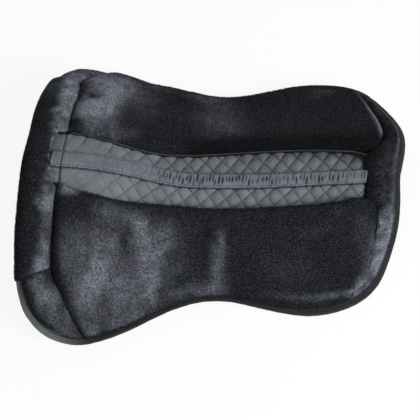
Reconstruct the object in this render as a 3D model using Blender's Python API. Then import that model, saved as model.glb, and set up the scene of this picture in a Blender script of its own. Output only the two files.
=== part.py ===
"""Half pad for under a saddle, fleece side up, standing as a low tent on its lower edges.

Metres, +Z up. +X runs to the rear of the pad, -X to the front roll, -Y is the near side and +Y the
far side. The origin is under the middle of the pad, on the surface that it stands on.

The pad is laid out flat in plan as one half, from the spine at y = 0 out to its edge. A point of
the plan is put on the pad by its height above the underside of the quilt, measured square to the
pad. The far half is the mirror of the near half. Both are slid along X a little, as the pad lies.
"""

import math

import bmesh
import bpy

# How the pad stands
RIDGE_HEIGHT = (  # underside of the spine seam above the ground, at places along X
    (-0.290, 0.1465), (-0.255, 0.1460), (-0.200, 0.1358), (-0.160, 0.1220), (-0.120, 0.1025),
    (-0.080, 0.0800), (-0.040, 0.0657), (0.000, 0.0595), (0.060, 0.0545), (0.140, 0.0530),
    (0.230, 0.0545), (0.300, 0.0545),
)
SIDE_SLOPE = (  # fall of each side for a metre out from the spine
    (-0.290, 0.560), (-0.240, 0.572), (-0.180, 0.610), (-0.120, 0.568), (-0.080, 0.435),
    (-0.040, 0.352), (0.040, 0.330), (0.120, 0.312), (0.190, 0.342), (0.240, 0.385), (0.300, 0.390),
)
RIDGE_ROUND = 0.030  # how softly the two sides meet
GROUND_ROUND = 0.006  # how softly the lower edges turn flat on the ground
GROUND_SETTLE = 0.0024
LAY_SLIDE = 0.100  # the far side lies this share of its width further to the rear
FRAME_SHIFT = -0.0048  # along X, so that the origin is under the middle

# Outline of one half in plan, front middle round to rear middle
OUTLINE = (
    (-0.2780, -0.0400), (-0.2780, 0.0000), (-0.2778, 0.0700), (-0.2770, 0.1250), (-0.2730, 0.1640),
    (-0.2622, 0.2003), (-0.2350, 0.2270), (-0.2000, 0.2357), (-0.1600, 0.2318), (-0.1200, 0.2195),
    (-0.0800, 0.2012), (-0.0400, 0.1850), (0.0000, 0.1750), (0.0400, 0.1771), (0.0800, 0.1876),
    (0.1200, 0.1972), (0.1600, 0.2027), (0.2000, 0.1981), (0.2354, 0.1824), (0.2614, 0.1563),
    (0.2800, 0.1220), (0.2917, 0.0830), (0.2933, 0.0450), (0.2890, 0.0000), (0.2930, -0.0400),
)
PLUSH_INSET = (  # tape left showing outside the plush, against distance along the outline
    (0.00, 0.0060), (0.20, 0.0080), (0.27, 0.0110), (0.33, 0.0075), (0.42, 0.0035), (0.55, 0.0035),
    (0.64, 0.0060), (0.74, 0.0095), (0.85, 0.0080), (1.00, 0.0060),
)
CHANNEL_EDGE = (  # inner edge of the plush panel, front to rear, turning out at the rear
    (-0.2254, 0.0450), (-0.2000, 0.0472), (-0.1600, 0.0470), (-0.1200, 0.0450), (-0.0800, 0.0450),
    (-0.0400, 0.0470), (0.0000, 0.0498), (0.0400, 0.0515), (0.1000, 0.0524), (0.1600, 0.0505),
    (0.2050, 0.0470), (0.2320, 0.0450), (0.2480, 0.0500), (0.2562, 0.0640),
)
REAR_STEP = (  # where the padding ends and the thin rear band begins
    (0.2562, 0.0640), (0.2575, 0.0800), (0.2520, 0.1060), (0.2410, 0.1350), (0.2290, 0.1560),
)
FRONT_SEAM = (  # seam behind the front roll, running out to the lower corner
    (-0.2254, 0.0450), (-0.2254, 0.1000), (-0.2250, 0.1550), (-0.2150, 0.1790), (-0.2010, 0.1960),
    (-0.1880, 0.2120),
)

# Thickness of the layers, measured square to the pad from its underside
TAPE_THICK = 0.0009
BINDING_HEIGHT = 0.0073
BINDING_WIDTH = 0.0100
BINDING_FOLD = 0.0025
COVER_INSET = 0.0041  # from the outline to the cover's edge, in the binding
ROLL_INSET = 0.0125  # the same inside the front roll
QUILT_LOW = 0.0016
QUILT_HIGH = 0.0056
RIM_PINCH = 0.0007  # how far the binding squeezes each face of the quilt
LAYER_GAP = 0.0008
PAD_LOW = QUILT_HIGH + LAYER_GAP
FOAM_RISE = 0.0080
PLUSH_TOP = 0.0250
BAND_TOP = 0.0150
EDGE_TOP = 0.0125  # top of the pile right at an edge

# Spine
HINGE_SIDE = 0.0420  # distance of each fold line from the spine
SEAM_GAP = 0.0005
CHANNEL_FRONT = -0.2655
CHANNEL_REAR = 0.2435
TAPE_HALF = 0.0105
TAPE_TOP = 0.0120
TAPE_FRONT = -0.2385
TAPE_REAR = 0.2380
ELASTIC_HALF = 0.0070
FOLD_LINE_FRONT = (-0.270, 0.1180)  # x and height of the fold line at the front
FOLD_LINE_REAR = (0.280, 0.0550)

# Front roll
ROLL_SEAM = -0.2262
ROLL_END = 0.1660
BRIDGE_HALF = 0.0445
BRIDGE_LIP = -0.2395
PIPING_RADIUS = 0.0012


def clear_scene():
    for old in list(bpy.context.scene.objects):
        bpy.data.objects.remove(old, do_unlink=True)


def curve_value(stations, x):
    """A smooth curve through the stations, read at x."""
    count = len(stations)
    i = 0
    while i < count - 2 and x > stations[i + 1][0]:
        i += 1
    (x0, a), (x1, b) = stations[i], stations[i + 1]
    before = stations[max(i - 1, 0)]
    after = stations[min(i + 2, count - 1)]
    slope0 = (b - before[1]) / (x1 - before[0])
    slope1 = (after[1] - a) / (after[0] - x0)
    t = min(max((x - x0) / (x1 - x0), 0.0), 1.0)
    step = x1 - x0
    return (
        (2 * t**3 - 3 * t**2 + 1) * a
        + (t**3 - 2 * t**2 + t) * step * slope0
        + (3 * t**2 - 2 * t**3) * b
        + (t**3 - t**2) * step * slope1
    )


class PlanPath:
    """A smooth line in plan through a few points, read by its share of length."""

    def __init__(self, points, first=0, last=None, steps=10):
        last = len(points) - 1 if last is None else last
        self.points = []
        for i in range(first, last):
            p0 = points[max(i - 1, 0)]
            p1, p2 = points[i], points[i + 1]
            p3 = points[min(i + 2, len(points) - 1)]
            for k in range(steps):
                self.points.append(self.between(p0, p1, p2, p3, k / steps))
        self.points.append(points[last])
        self.lengths = [0.0]
        for a, b in zip(self.points, self.points[1:]):
            self.lengths.append(self.lengths[-1] + math.dist(a, b))

    @staticmethod
    def between(p0, p1, p2, p3, t):
        return tuple(
            0.5
            * (
                2 * b
                + (c - a) * t
                + (2 * a - 5 * b + 4 * c - d) * t * t
                + (3 * b - a - 3 * c + d) * t**3
            )
            for a, b, c, d in zip(p0, p1, p2, p3)
        )

    def at(self, share):
        want = min(max(share, 0.0), 1.0) * self.lengths[-1]
        i = 0
        while i < len(self.lengths) - 2 and self.lengths[i + 1] < want:
            i += 1
        t = (want - self.lengths[i]) / (self.lengths[i + 1] - self.lengths[i])
        a, b = self.points[i], self.points[i + 1]
        return a[0] + t * (b[0] - a[0]), a[1] + t * (b[1] - a[1])

    def inward(self, share, distance):
        """A point this far to the spine's side of the line."""
        before, after = self.at(share - 0.004), self.at(share + 0.004)
        dx, dy = after[0] - before[0], after[1] - before[1]
        size = math.hypot(dx, dy)
        x, y = self.at(share)
        return x + distance * dy / size, y - distance * dx / size

    def share_near(self, x, y):
        """Share of the length at the point of the line that is nearest to x, y."""
        best = (math.inf, 0.0)
        for i, (a, b) in enumerate(zip(self.points, self.points[1:])):
            dx, dy = b[0] - a[0], b[1] - a[1]
            t = ((x - a[0]) * dx + (y - a[1]) * dy) / (dx * dx + dy * dy)
            t = min(max(t, 0.0), 1.0)
            away = math.dist((a[0] + t * dx, a[1] + t * dy), (x, y))
            best = min(best, (away, self.lengths[i] + t * (self.lengths[i + 1] - self.lengths[i])))
        return best[1] / self.lengths[-1]

    def share_at_side(self, y, first=0.0, last=1.0):
        """Share of the length where the line passes y, between two shares."""
        rising = self.at(last)[1] > self.at(first)[1]
        for _ in range(40):
            middle = 0.5 * (first + last)
            if (self.at(middle)[1] < y) == rising:
                first = middle
            else:
                last = middle
        return 0.5 * (first + last)


OUTER = PlanPath(OUTLINE, 1, len(OUTLINE) - 2)
INNER = PlanPath(CHANNEL_EDGE)
MAIN_FRONT = OUTER.share_near(-0.174, 0.2340)
MAIN_REAR = OUTER.share_near(0.218, 0.190)
FRONT_HALF, REAR_HALF = (0.0, 0.24), (0.80, 1.0)  # shares of the outline along its two ends
SLEEVE_FOOT = OUTER.share_at_side(ROLL_END + 0.0022, *FRONT_HALF)


def underside(x, y):
    """Height of the pad's underside, never below the ground."""
    ridge = curve_value(RIDGE_HEIGHT, x)
    slope = curve_value(SIDE_SLOPE, x)
    free = ridge - slope * (math.hypot(y, RIDGE_ROUND) - RIDGE_ROUND)
    settled = 0.5 * (free + math.hypot(free, GROUND_ROUND)) - GROUND_SETTLE
    return max(settled, 0.0)


def on_pad(x, y, height, side=1):
    """A point of the plan, this far above the underside, on the far side (1) or near side (-1)."""
    step = 0.0005
    fall_x = (underside(x + step, y) - underside(x - step, y)) / (2 * step)
    fall_y = (underside(x, y + step) - underside(x, y - step)) / (2 * step)
    size = math.sqrt(1 + fall_x**2 + fall_y**2)
    px = x - height * fall_x / size
    py = side * (y - height * fall_y / size)
    pz = underside(x, y) + height / size
    return px + LAY_SLIDE * py + FRAME_SHIFT, py, pz


def rounded(distance, reach):
    """0 at an edge, rising like a quarter circle to 1 at reach."""
    t = 1 - min(max(distance / reach, 0.0), 1.0)
    return math.sqrt(1 - t * t)


def eased(value):
    t = min(max(value, 0.0), 1.0)
    return t * t * (3 - 2 * t)


def coons(front, rear, inner, outer):
    """A patch of plan between four lines: u from front to rear, v from inner to outer."""
    f0, f1, r0, r1 = front(0), front(1), rear(0), rear(1)

    def place(u, v):
        a, b, c, d = inner(u), outer(u), front(v), rear(v)
        return tuple(
            (1 - v) * a[k] + v * b[k] + (1 - u) * c[k] + u * d[k]
            - (1 - u) * (1 - v) * f0[k] - (1 - u) * v * f1[k] - u * (1 - v) * r0[k] - u * v * r1[k]
            for k in range(2)
        )

    return place


def straight(start, end):
    return lambda t: (start[0] + t * (end[0] - start[0]), start[1] + t * (end[1] - start[1]))


def along_outline(first, last, inset):
    def place(t):
        share = first + t * (last - first)
        return OUTER.inward(share, inset(share) if callable(inset) else inset)

    return place


def plush_inset(share):
    return curve_value(PLUSH_INSET, share)


def plush_corner(share):
    return OUTER.inward(share, plush_inset(share))


def even(count, first=0.0, last=1.0):
    return [first + (last - first) * i / count for i in range(count + 1)]


def material(name, colour, roughness, metallic=0.0):
    made = bpy.data.materials.new(name)
    made.use_nodes = True
    shader = made.node_tree.nodes["Principled BSDF"]
    shader.inputs["Base Color"].default_value = (*colour, 1.0)
    shader.inputs["Roughness"].default_value = roughness
    shader.inputs["Metallic"].default_value = metallic
    return made


def finish_object(name, bm, colour, roughness, parent):
    bmesh.ops.recalc_face_normals(bm, faces=bm.faces[:])
    if bm.calc_volume(signed=True) < 0:
        bmesh.ops.reverse_faces(bm, faces=bm.faces[:])
    mesh = bpy.data.meshes.new(name)
    bm.to_mesh(mesh)
    bm.free()
    mesh.shade_smooth()
    mesh.set_sharp_from_angle(angle=math.radians(40))
    mesh.materials.append(material(name, colour, roughness))
    piece = bpy.data.objects.new(name, mesh)
    bpy.context.scene.collection.objects.link(piece)
    if parent:
        piece.parent = parent
        piece.location = [-value for value in parent.location]
    return piece


def slab(name, place, low, high, us, vs, look, side=1, parent=None):
    """A closed layer over a patch of plan, between two heights that may vary over it."""
    bm = bmesh.new()
    bmesh.ops.create_grid(bm, x_segments=len(us) - 1, y_segments=len(vs) - 1, size=0.5)
    bottom = set(bm.verts)
    bmesh.ops.extrude_face_region(bm, geom=bm.faces[:])
    for vert in bm.verts:
        u = us[round((vert.co.x + 0.5) * (len(us) - 1))]
        v = vs[round((vert.co.y + 0.5) * (len(vs) - 1))]
        x, y = place(u, v)
        height = low(u, v) if vert in bottom else high(u, v)
        vert.co = on_pad(x, y, height, side)
    return finish_object(name, bm, *look, parent)


def sweep(name, sections, look, parent=None):
    """A closed bar through rings of points. Each end is closed from point to point across the ring."""
    bm = bmesh.new()
    rings = [[bm.verts.new(point) for point in section] for section in sections]
    for ring, following in zip(rings, rings[1:]):
        count = len(ring)
        for i in range(count):
            j = (i + 1) % count
            bm.faces.new((ring[i], ring[j], following[j], following[i]))
    last = len(rings[0]) - 1
    for ring in (rings[0], rings[-1]):
        for i in range(last // 2 + 1):
            corners = dict.fromkeys((ring[i], ring[min(i + 1, last)], ring[last - i - 1], ring[last - i]))
            if i + 1 <= last - i - 1 and len(corners) > 2:
                bm.faces.new(list(corners))
    return finish_object(name, bm, *look, parent)


QUILT_LOOK = ((0.145, 0.160, 0.162), 0.85)
PLUSH_LOOK = ((0.012, 0.013, 0.018), 0.95)
FOAM_LOOK = ((0.55, 0.52, 0.40), 0.95)
BINDING_LOOK = ((0.110, 0.120, 0.115), 0.80)
TAPE_LOOK = ((0.155, 0.170, 0.190), 0.80)
ELASTIC_LOOK = ((0.60, 0.60, 0.58), 0.85)

REAR = PlanPath(REAR_STEP + (plush_corner(MAIN_REAR),))
FRONT = PlanPath(FRONT_SEAM + (plush_corner(MAIN_FRONT),))
PANEL = coons(
    FRONT.at,
    REAR.at,
    INNER.at,
    along_outline(MAIN_FRONT, MAIN_REAR, plush_inset),
)
PANEL_LONG, PANEL_WIDE = 0.46, 0.15
FOAM_MARGIN = (0.022, 0.978, 0.08, 0.86)  # front, rear, inner and outer, as shares of the panel
FOAM_EDGE = 0.0010
PANEL_US = [0, 0.010, 0.022, 0.046] + even(16, 0.080, 0.920)[1:-1] + [0.954, 0.978, 0.990, 1]
PANEL_VS = [0, 0.035, 0.08, 0.14, 0.28, 0.43, 0.58, 0.72, 0.80, 0.86, 0.93, 1]


def foam_rise(u, v):
    """How far the foam lifts the plush, from nothing at its rim."""
    front, rear, inner, outer = FOAM_MARGIN
    along = rounded(u - front, 0.06) * rounded(rear - u, 0.06)
    across = rounded(v - inner, 0.14) * rounded(outer - v, 0.20)
    return FOAM_RISE * along * across


def plush_low(u, v):
    over_tape = (BINDING_HEIGHT - QUILT_HIGH) * eased((v - 0.80) / 0.10)
    over_foam = FOAM_EDGE * min(u / 0.022, (1 - u) / 0.022, v / 0.08, 1.0)
    return PAD_LOW + over_tape + foam_rise(u, v) + over_foam + LAYER_GAP * eased(min(v, 1 - v) / 0.08)


def plush_high(u, v):
    body = rounded(v * PANEL_WIDE, 0.011) * rounded((1 - v) * PANEL_WIDE, 0.032)
    ends = rounded(u * PANEL_LONG, 0.016) * rounded((1 - u) * PANEL_LONG, 0.018)
    return EDGE_TOP + (PLUSH_TOP - EDGE_TOP) * body * ends


def make_panel(side, word, parent):
    """The pieces of one side, all carried on its fold line."""
    slab(f"{word}_plush_panel", PANEL, plush_low, plush_high, PANEL_US, PANEL_VS, PLUSH_LOOK, side, parent)

    front, rear, inner, outer = FOAM_MARGIN
    slab(
        f"{word}_foam_core", PANEL,
        lambda u, v: PAD_LOW,
        lambda u, v: PAD_LOW + FOAM_EDGE + foam_rise(u, v),
        [u for u in PANEL_US if front <= u <= rear],
        [v for v in PANEL_VS if inner <= v <= outer],
        FOAM_LOOK, side, parent,
    )

    make_cover(side, word, parent)
    make_corner(side, word, parent)
    make_rear_band(side, word, parent)
    make_roll(side, word, parent)
    make_binding(side, word, parent)
    make_piping(side, word, parent)


def make_cover(side, word, parent):
    """The quilted cotton cover of the side, from the fold line into the slot of the binding."""
    fold = HINGE_SIDE + SEAM_GAP
    front_share = OUTER.share_near(-0.262, 0.200)
    rear_share = OUTER.share_near(0.2680, 0.145)

    def inset(share):
        tucked = eased((SLEEVE_FOOT + 0.030 - share) / 0.020)
        return COVER_INSET + (ROLL_INSET - COVER_INSET) * tucked

    front_start = OUTER.share_at_side(fold, *FRONT_HALF)
    rear_start = OUTER.share_at_side(fold, *REAR_HALF)
    front_edge = along_outline(front_start, front_share, inset)
    rear_edge = along_outline(rear_start, rear_share, inset)

    place = coons(
        front_edge,
        rear_edge,
        straight(front_edge(0), rear_edge(0)),
        along_outline(front_share, rear_share, inset),
    )
    def pinch(v):
        return RIM_PINCH * eased((v - 0.84) / 0.09)

    slab(
        f"{word}_quilted_cover", place,
        lambda u, v: QUILT_LOW + pinch(v),
        lambda u, v: QUILT_HIGH - pinch(v),
        [0, 0.015] + even(22, 0.04, 0.96) + [0.985, 1],
        [0, 0.10, 0.24, 0.42, 0.63, 0.84, 0.93, 1],
        QUILT_LOOK, side, parent,
    )


def make_corner(side, word, parent):
    """Plush of the lower front corner, between the end of the roll and the binding."""
    first = OUTER.share_near(-0.2735, 0.1690)
    middle = OUTER.share_near(-0.2400, 0.2240)
    last = MAIN_FRONT - 0.004
    outline_a = along_outline(first, middle, plush_inset)
    outline_b = along_outline(middle, last, plush_inset)
    seam_start = FRONT.share_near(-0.2200, 0.1695)

    def valley(t):
        x, y = FRONT.inward(seam_start + t * (1 - seam_start), -0.0009)
        return x, y

    place = coons(
        outline_a,
        valley,
        straight(outline_a(0), valley(0)),
        outline_b,
    )

    def low(u, v):
        rim = max(eased((0.30 - u) / 0.1), eased((v - 0.72) / 0.1))
        return PAD_LOW + (BINDING_HEIGHT - QUILT_HIGH) * rim

    def high(u, v):
        rise = rounded(u, 0.75) * rounded(1 - u, 0.35) * rounded(v, 0.30) * rounded(1 - v, 0.75)
        return EDGE_TOP + 0.0095 * rise

    ticks = [0, 0.12, 0.30, 0.50, 0.70, 0.88, 1]
    slab(f"{word}_front_corner_plush", place, low, high, ticks, ticks, PLUSH_LOOK, side, parent)


def make_rear_band(side, word, parent):
    """Thinner plush behind the padding, as far as the binding."""
    start = OUTER.share_at_side(HINGE_SIDE + SEAM_GAP, *REAR_HALF)
    end = OUTER.share_near(0.224, 0.1875)
    inner_line = PlanPath(((REAR_STEP[0][0], HINGE_SIDE + SEAM_GAP),) + REAR_STEP + (REAR.at(1.0),))

    def step_edge(t):
        return inner_line.inward(0.99 * t, 0.0010)

    outer_edge = along_outline(start, end, plush_inset)
    place = coons(
        straight(step_edge(0), outer_edge(0)),
        straight(step_edge(1), outer_edge(1)),
        step_edge,
        outer_edge,
    )

    def low(u, v):
        return PAD_LOW + (BINDING_HEIGHT - QUILT_HIGH) * max(eased((v - 0.35) / 0.25), eased((u - 0.7) / 0.15))

    def high(u, v):
        crown = rounded(v, 0.35) * rounded(1 - v, 0.6)
        return EDGE_TOP - 0.0015 + (BAND_TOP - EDGE_TOP) * crown

    slab(
        f"{word}_rear_band", place,
        low,
        high,
        even(10), [0, 0.2, 0.45, 0.75, 1], PLUSH_LOOK, side, parent,
    )


def roll_section(y, lip, wall, top, side):
    """Ring of points round a C of plush that is folded over the front edge at y."""
    nose = OUTER.at(OUTER.share_at_side(y, *FRONT_HALF))[0]
    wide = lip - nose
    outside = (
        (wide, -0.70 * wall), (0.55 * wide, -wall * 0.95), (0.20 * wide, -0.8 * wall),
        (0.04 * wide, 0.0000), (0.0, 0.38 * top), (0.06 * wide, 0.66 * top), (0.22 * wide, 0.90 * top),
        (0.45 * wide, top), (0.70 * wide, 0.90 * top), (0.90 * wide, 0.70 * top), (wide, 0.50 * top),
    )
    inside = (
        (wide, PAD_LOW + 0.0004), (0.86 * wide, PAD_LOW + 0.10 * top), (0.70 * wide, top - wall - 0.06 * top),
        (0.45 * wide, top - wall), (0.27 * wide, top - wall - 0.06 * top),
        (wall + 0.0005, 0.40 * top), (wall, QUILT_LOW), (wall + 0.004, -0.0004), (0.45 * wide, -0.0004),
        (0.72 * wide, -0.0004), (wide, -0.0004),
    )
    return [on_pad(nose + dx, y, height, side) for dx, height in outside + inside]


def make_roll(side, word, parent):
    """The plush sleeve of the front roll, and the foam rod inside it."""
    ys = even(7, BRIDGE_HALF + SEAM_GAP, ROLL_END)
    sections = [roll_section(y, ROLL_SEAM, 0.0085, 0.0300, side) for y in ys]
    sweep(f"{word}_front_roll_sleeve", sections, PLUSH_LOOK, parent)

    def rod(y):
        nose = OUTER.at(OUTER.share_at_side(y, *FRONT_HALF))[0]
        wide = ROLL_SEAM - nose
        ring = (
            (0.23, 0.0066), (0.23, 0.0115), (0.31, 0.0175), (0.45, 0.0200), (0.61, 0.0180), (0.75, 0.0105),
            (0.79, 0.0066),
        )
        return [on_pad(nose + share * wide, y, height, side) for share, height in ring]

    sweep(
        f"{word}_front_roll_core",
        [rod(y) for y in even(6, BRIDGE_HALF + 0.006, ROLL_END - 0.006)],
        FOAM_LOOK, parent,
    )


def binding_section(share, side):
    """Ring round the folded tape: an outer fold, and the slot that takes the cover's edge."""
    ring = (
        (BINDING_WIDTH, 0.0), (0.0, 0.0), (0.0, BINDING_HEIGHT), (BINDING_WIDTH, BINDING_HEIGHT),
        (BINDING_WIDTH, BINDING_HEIGHT - TAPE_THICK), (BINDING_FOLD, BINDING_HEIGHT - TAPE_THICK),
        (BINDING_FOLD, TAPE_THICK), (BINDING_WIDTH, TAPE_THICK),
    )
    points = []
    for inset, height in ring:
        x, y = OUTER.inward(share, inset)
        points.append(on_pad(x, y, height, side))
    return points


def make_binding(side, word, parent):
    start = SLEEVE_FOOT
    end = OUTER.share_at_side(HINGE_SIDE + SEAM_GAP, *REAR_HALF)
    sections = [binding_section(share, side) for share in even(36, start, end)]
    sweep(f"{word}_edge_binding", sections, BINDING_LOOK, parent)


def round_cord(points, radius, side):
    """Rings of a thin cord, each six points across the line in plan and up."""
    sections = []
    for i, (x, y, height) in enumerate(points):
        a, b = points[max(i - 1, 0)], points[min(i + 1, len(points) - 1)]
        size = math.hypot(b[0] - a[0], b[1] - a[1])
        nx, ny = -(b[1] - a[1]) / size, (b[0] - a[0]) / size
        ring = []
        for k in range(6):
            turn = k * math.pi / 3
            out, up = radius * math.cos(turn), radius * math.sin(turn)
            ring.append(on_pad(x + nx * out, y + ny * out, height + up, side))
        sections.append(ring)
    return sections


def make_piping(side, word, parent):
    """The corded seam at the foot of the plush, along the channel."""
    line = PlanPath(CHANNEL_EDGE, 0, len(CHANNEL_EDGE) - 2)
    points = []
    for share in even(22, 0.012, 0.985):
        x, y = line.inward(share, PIPING_RADIUS + 0.0012)
        points.append((x, y, PAD_LOW + PIPING_RADIUS))
    sweep(f"{word}_channel_piping", round_cord(points, PIPING_RADIUS, side), QUILT_LOOK, parent)


def make_spine():
    """What lies between the two fold lines, and what crosses from side to side."""
    rear = OUTER.at(OUTER.share_at_side(HINGE_SIDE, *REAR_HALF))[0] - BINDING_FOLD - 0.0012
    for side, word in ((-1, "near"), (1, "far")):
        place = coons(
            straight((CHANNEL_FRONT, 0.0003), (CHANNEL_FRONT, HINGE_SIDE)),
            straight((0.2850, 0.0003), (rear, HINGE_SIDE)),
            straight((CHANNEL_FRONT, 0.0003), (0.2850, 0.0003)),
            straight((CHANNEL_FRONT, HINGE_SIDE), (rear, HINGE_SIDE)),
        )
        slab(
            f"{word}_channel_quilt", place,
            lambda u, v: QUILT_LOW,
            lambda u, v: QUILT_HIGH,
            even(24), [0, 0.25, 0.50, 0.75, 1], QUILT_LOOK, side,
        )

    make_spine_tape()

    bridge = [
        roll_section(abs(y), BRIDGE_LIP, 0.0075, 0.0215, 1 if y >= 0 else -1)
        for y in even(10, -BRIDGE_HALF, BRIDGE_HALF)
    ]
    sweep("front_roll_bridge", bridge, PLUSH_LOOK)

    def band_place(u, v):
        y = (2 * v - 1) * (HINGE_SIDE - SEAM_GAP)
        end = OUTER.at(OUTER.share_at_side(abs(y), *REAR_HALF))[0] - 0.0065
        return CHANNEL_REAR + u * (end - CHANNEL_REAR), y

    def band_high(u, v):
        crown = rounded(u, 0.35) * rounded(1 - u, 0.5)
        return EDGE_TOP - 0.0015 + (BAND_TOP - EDGE_TOP) * crown

    slab(
        "rear_band_bridge", band_place,
        lambda u, v: PAD_LOW + (BINDING_HEIGHT - QUILT_HIGH) * eased((u - 0.6) / 0.2),
        band_high, [0, 0.15, 0.4, 0.65, 0.85, 1], even(10), PLUSH_LOOK,
    )

    last = OUTER.share_at_side(HINGE_SIDE - SEAM_GAP, *REAR_HALF)
    crossing = [binding_section(share, 1) for share in even(4, last, 1.0)]
    crossing += [binding_section(share, -1) for share in reversed(even(4, last, 1.0)[:-1])]
    sweep("binding_bridge", crossing, BINDING_LOOK)


def make_spine_tape():
    """The ruched tape down the spine seam: a flat tube with elastic drawn through it."""
    xs = even(24, TAPE_FRONT, TAPE_REAR)
    low, high = PAD_LOW, TAPE_TOP
    outside = (
        (-TAPE_HALF, low), (-TAPE_HALF, low + 0.0014), (-0.0075, high - 0.0004), (0.0, high),
        (0.0075, high - 0.0004), (TAPE_HALF, low + 0.0014), (TAPE_HALF, low), (0.0, low),
    )
    wall = 0.0007
    inside = (
        (-0.0088, low + wall), (-0.0088, low + wall + 0.0009),
        (-0.0068, high - 0.0013), (0.0, high - 0.0010), (0.0068, high - 0.0013),
        (0.0088, low + wall + 0.0009), (0.0088, low + wall), (0.0, low + wall),
    )
    bm = bmesh.new()
    walls = []
    for ring in (outside, inside):
        walls.append([[bm.verts.new(spine_point(x, y, n)) for y, n in ring] for x in xs])
    for rings in walls:
        for ring, following in zip(rings, rings[1:]):
            for i in range(8):
                j = (i + 1) % 8
                bm.faces.new((ring[i], ring[j], following[j], following[i]))
    for end in (0, -1):
        outer, inner = walls[0][end], walls[1][end]
        for i in range(8):
            j = (i + 1) % 8
            bm.faces.new((outer[i], outer[j], inner[j], inner[i]))
    finish_object("spine_tape_casing", bm, *TAPE_LOOK, None)

    flat = ((-ELASTIC_HALF, 0.0077), (ELASTIC_HALF, 0.0077), (ELASTIC_HALF, 0.0086),
            (0.0, 0.0096), (-ELASTIC_HALF, 0.0086))
    xs = even(24, TAPE_FRONT + 0.002, TAPE_REAR - 0.002)
    sweep("spine_elastic", [[spine_point(x, y, n) for y, n in flat] for x in xs], ELASTIC_LOOK)


def spine_point(x, y, height):
    return on_pad(x, abs(y), height, 1 if y >= 0 else -1)


def fold_empty(name, side):
    empty = bpy.data.objects.new(name, None)
    (x0, z0), (x1, z1) = FOLD_LINE_FRONT, FOLD_LINE_REAR
    empty.location = ((x0 + x1) / 2, side * HINGE_SIDE, (z0 + z1) / 2)
    bpy.context.scene.collection.objects.link(empty)
    return empty


def main():
    clear_scene()
    make_spine()
    for side, word in ((-1, "near"), (1, "far")):
        make_panel(side, word, fold_empty(f"{word}_fold", side))


main()
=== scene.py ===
"""Looks of the half pad, fleece side up, standing as a low tent on its lower edges.

Metres, +Z up, -X to the front roll, -Y the near side. Each piece is laid out in plan as one half,
from the spine at y = 0 out to its edge, and put on the pad by its height above the underside.
"""

import math

import bmesh
import bpy
import numpy as np
from mathutils import Matrix, Vector


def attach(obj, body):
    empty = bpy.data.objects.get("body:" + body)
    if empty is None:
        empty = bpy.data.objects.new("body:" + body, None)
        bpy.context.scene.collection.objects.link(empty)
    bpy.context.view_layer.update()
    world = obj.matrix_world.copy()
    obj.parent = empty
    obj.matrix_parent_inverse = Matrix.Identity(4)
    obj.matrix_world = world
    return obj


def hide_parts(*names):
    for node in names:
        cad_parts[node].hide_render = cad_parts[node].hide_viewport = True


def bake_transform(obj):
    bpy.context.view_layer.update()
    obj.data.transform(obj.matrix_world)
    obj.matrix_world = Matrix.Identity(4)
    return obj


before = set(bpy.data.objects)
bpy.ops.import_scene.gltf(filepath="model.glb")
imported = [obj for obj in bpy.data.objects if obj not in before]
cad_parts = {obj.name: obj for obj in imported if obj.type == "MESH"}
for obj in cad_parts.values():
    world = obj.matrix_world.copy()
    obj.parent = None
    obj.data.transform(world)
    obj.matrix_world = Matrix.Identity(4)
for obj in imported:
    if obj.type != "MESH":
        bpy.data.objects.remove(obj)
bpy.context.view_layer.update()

MM = 0.001
SIDES = {"near": -1, "far": 1}

# How the pad stands, as its frame has it
RIDGE_HEIGHT = (
    (-0.290, 0.1465), (-0.255, 0.1460), (-0.200, 0.1358), (-0.160, 0.1220), (-0.120, 0.1025),
    (-0.080, 0.0800), (-0.040, 0.0657), (0.000, 0.0595), (0.060, 0.0545), (0.140, 0.0530),
    (0.230, 0.0545), (0.300, 0.0545),
)
SIDE_SLOPE = (
    (-0.290, 0.560), (-0.240, 0.572), (-0.180, 0.610), (-0.120, 0.568), (-0.080, 0.435),
    (-0.040, 0.352), (0.040, 0.330), (0.120, 0.312), (0.190, 0.342), (0.240, 0.385), (0.300, 0.390),
)
RIDGE_ROUND = 0.030  # how far out from the spine the ridge is rounded
GROUND_ROUND = 0.006  # how softly the sides run out on the ground
GROUND_SETTLE = 0.0024
LAY_SLIDE = 0.100  # each side lies further back by this share of its y
FRAME_SHIFT = -0.0048  # puts the middle of the pad's box over the origin

# Lines of the plan, as the frame has them
OUTLINE = (
    (-0.2780, -0.0400), (-0.2780, 0.0000), (-0.2778, 0.0700), (-0.2770, 0.1250), (-0.2730, 0.1640),
    (-0.2622, 0.2003), (-0.2350, 0.2270), (-0.2000, 0.2357), (-0.1600, 0.2318), (-0.1200, 0.2195),
    (-0.0800, 0.2012), (-0.0400, 0.1850), (0.0000, 0.1750), (0.0400, 0.1771), (0.0800, 0.1876),
    (0.1200, 0.1972), (0.1600, 0.2027), (0.2000, 0.1981), (0.2354, 0.1824), (0.2614, 0.1563),
    (0.2800, 0.1220), (0.2917, 0.0830), (0.2933, 0.0450), (0.2890, 0.0000), (0.2930, -0.0400),
)
PLUSH_INSET = (
    (0.00, 0.0060), (0.20, 0.0080), (0.27, 0.0110), (0.33, 0.0075), (0.42, 0.0035), (0.55, 0.0035),
    (0.64, 0.0060), (0.74, 0.0095), (0.85, 0.0080), (1.00, 0.0060),
)
CHANNEL_EDGE = (
    (-0.2254, 0.0450), (-0.2000, 0.0472), (-0.1600, 0.0470), (-0.1200, 0.0450), (-0.0800, 0.0450),
    (-0.0400, 0.0470), (0.0000, 0.0498), (0.0400, 0.0515), (0.1000, 0.0524), (0.1600, 0.0505),
    (0.2050, 0.0470), (0.2320, 0.0450), (0.2480, 0.0500), (0.2562, 0.0640),
)
REAR_STEP = (
    (0.2562, 0.0640), (0.2575, 0.0800), (0.2520, 0.1060), (0.2410, 0.1350), (0.2290, 0.1560),
)
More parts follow.
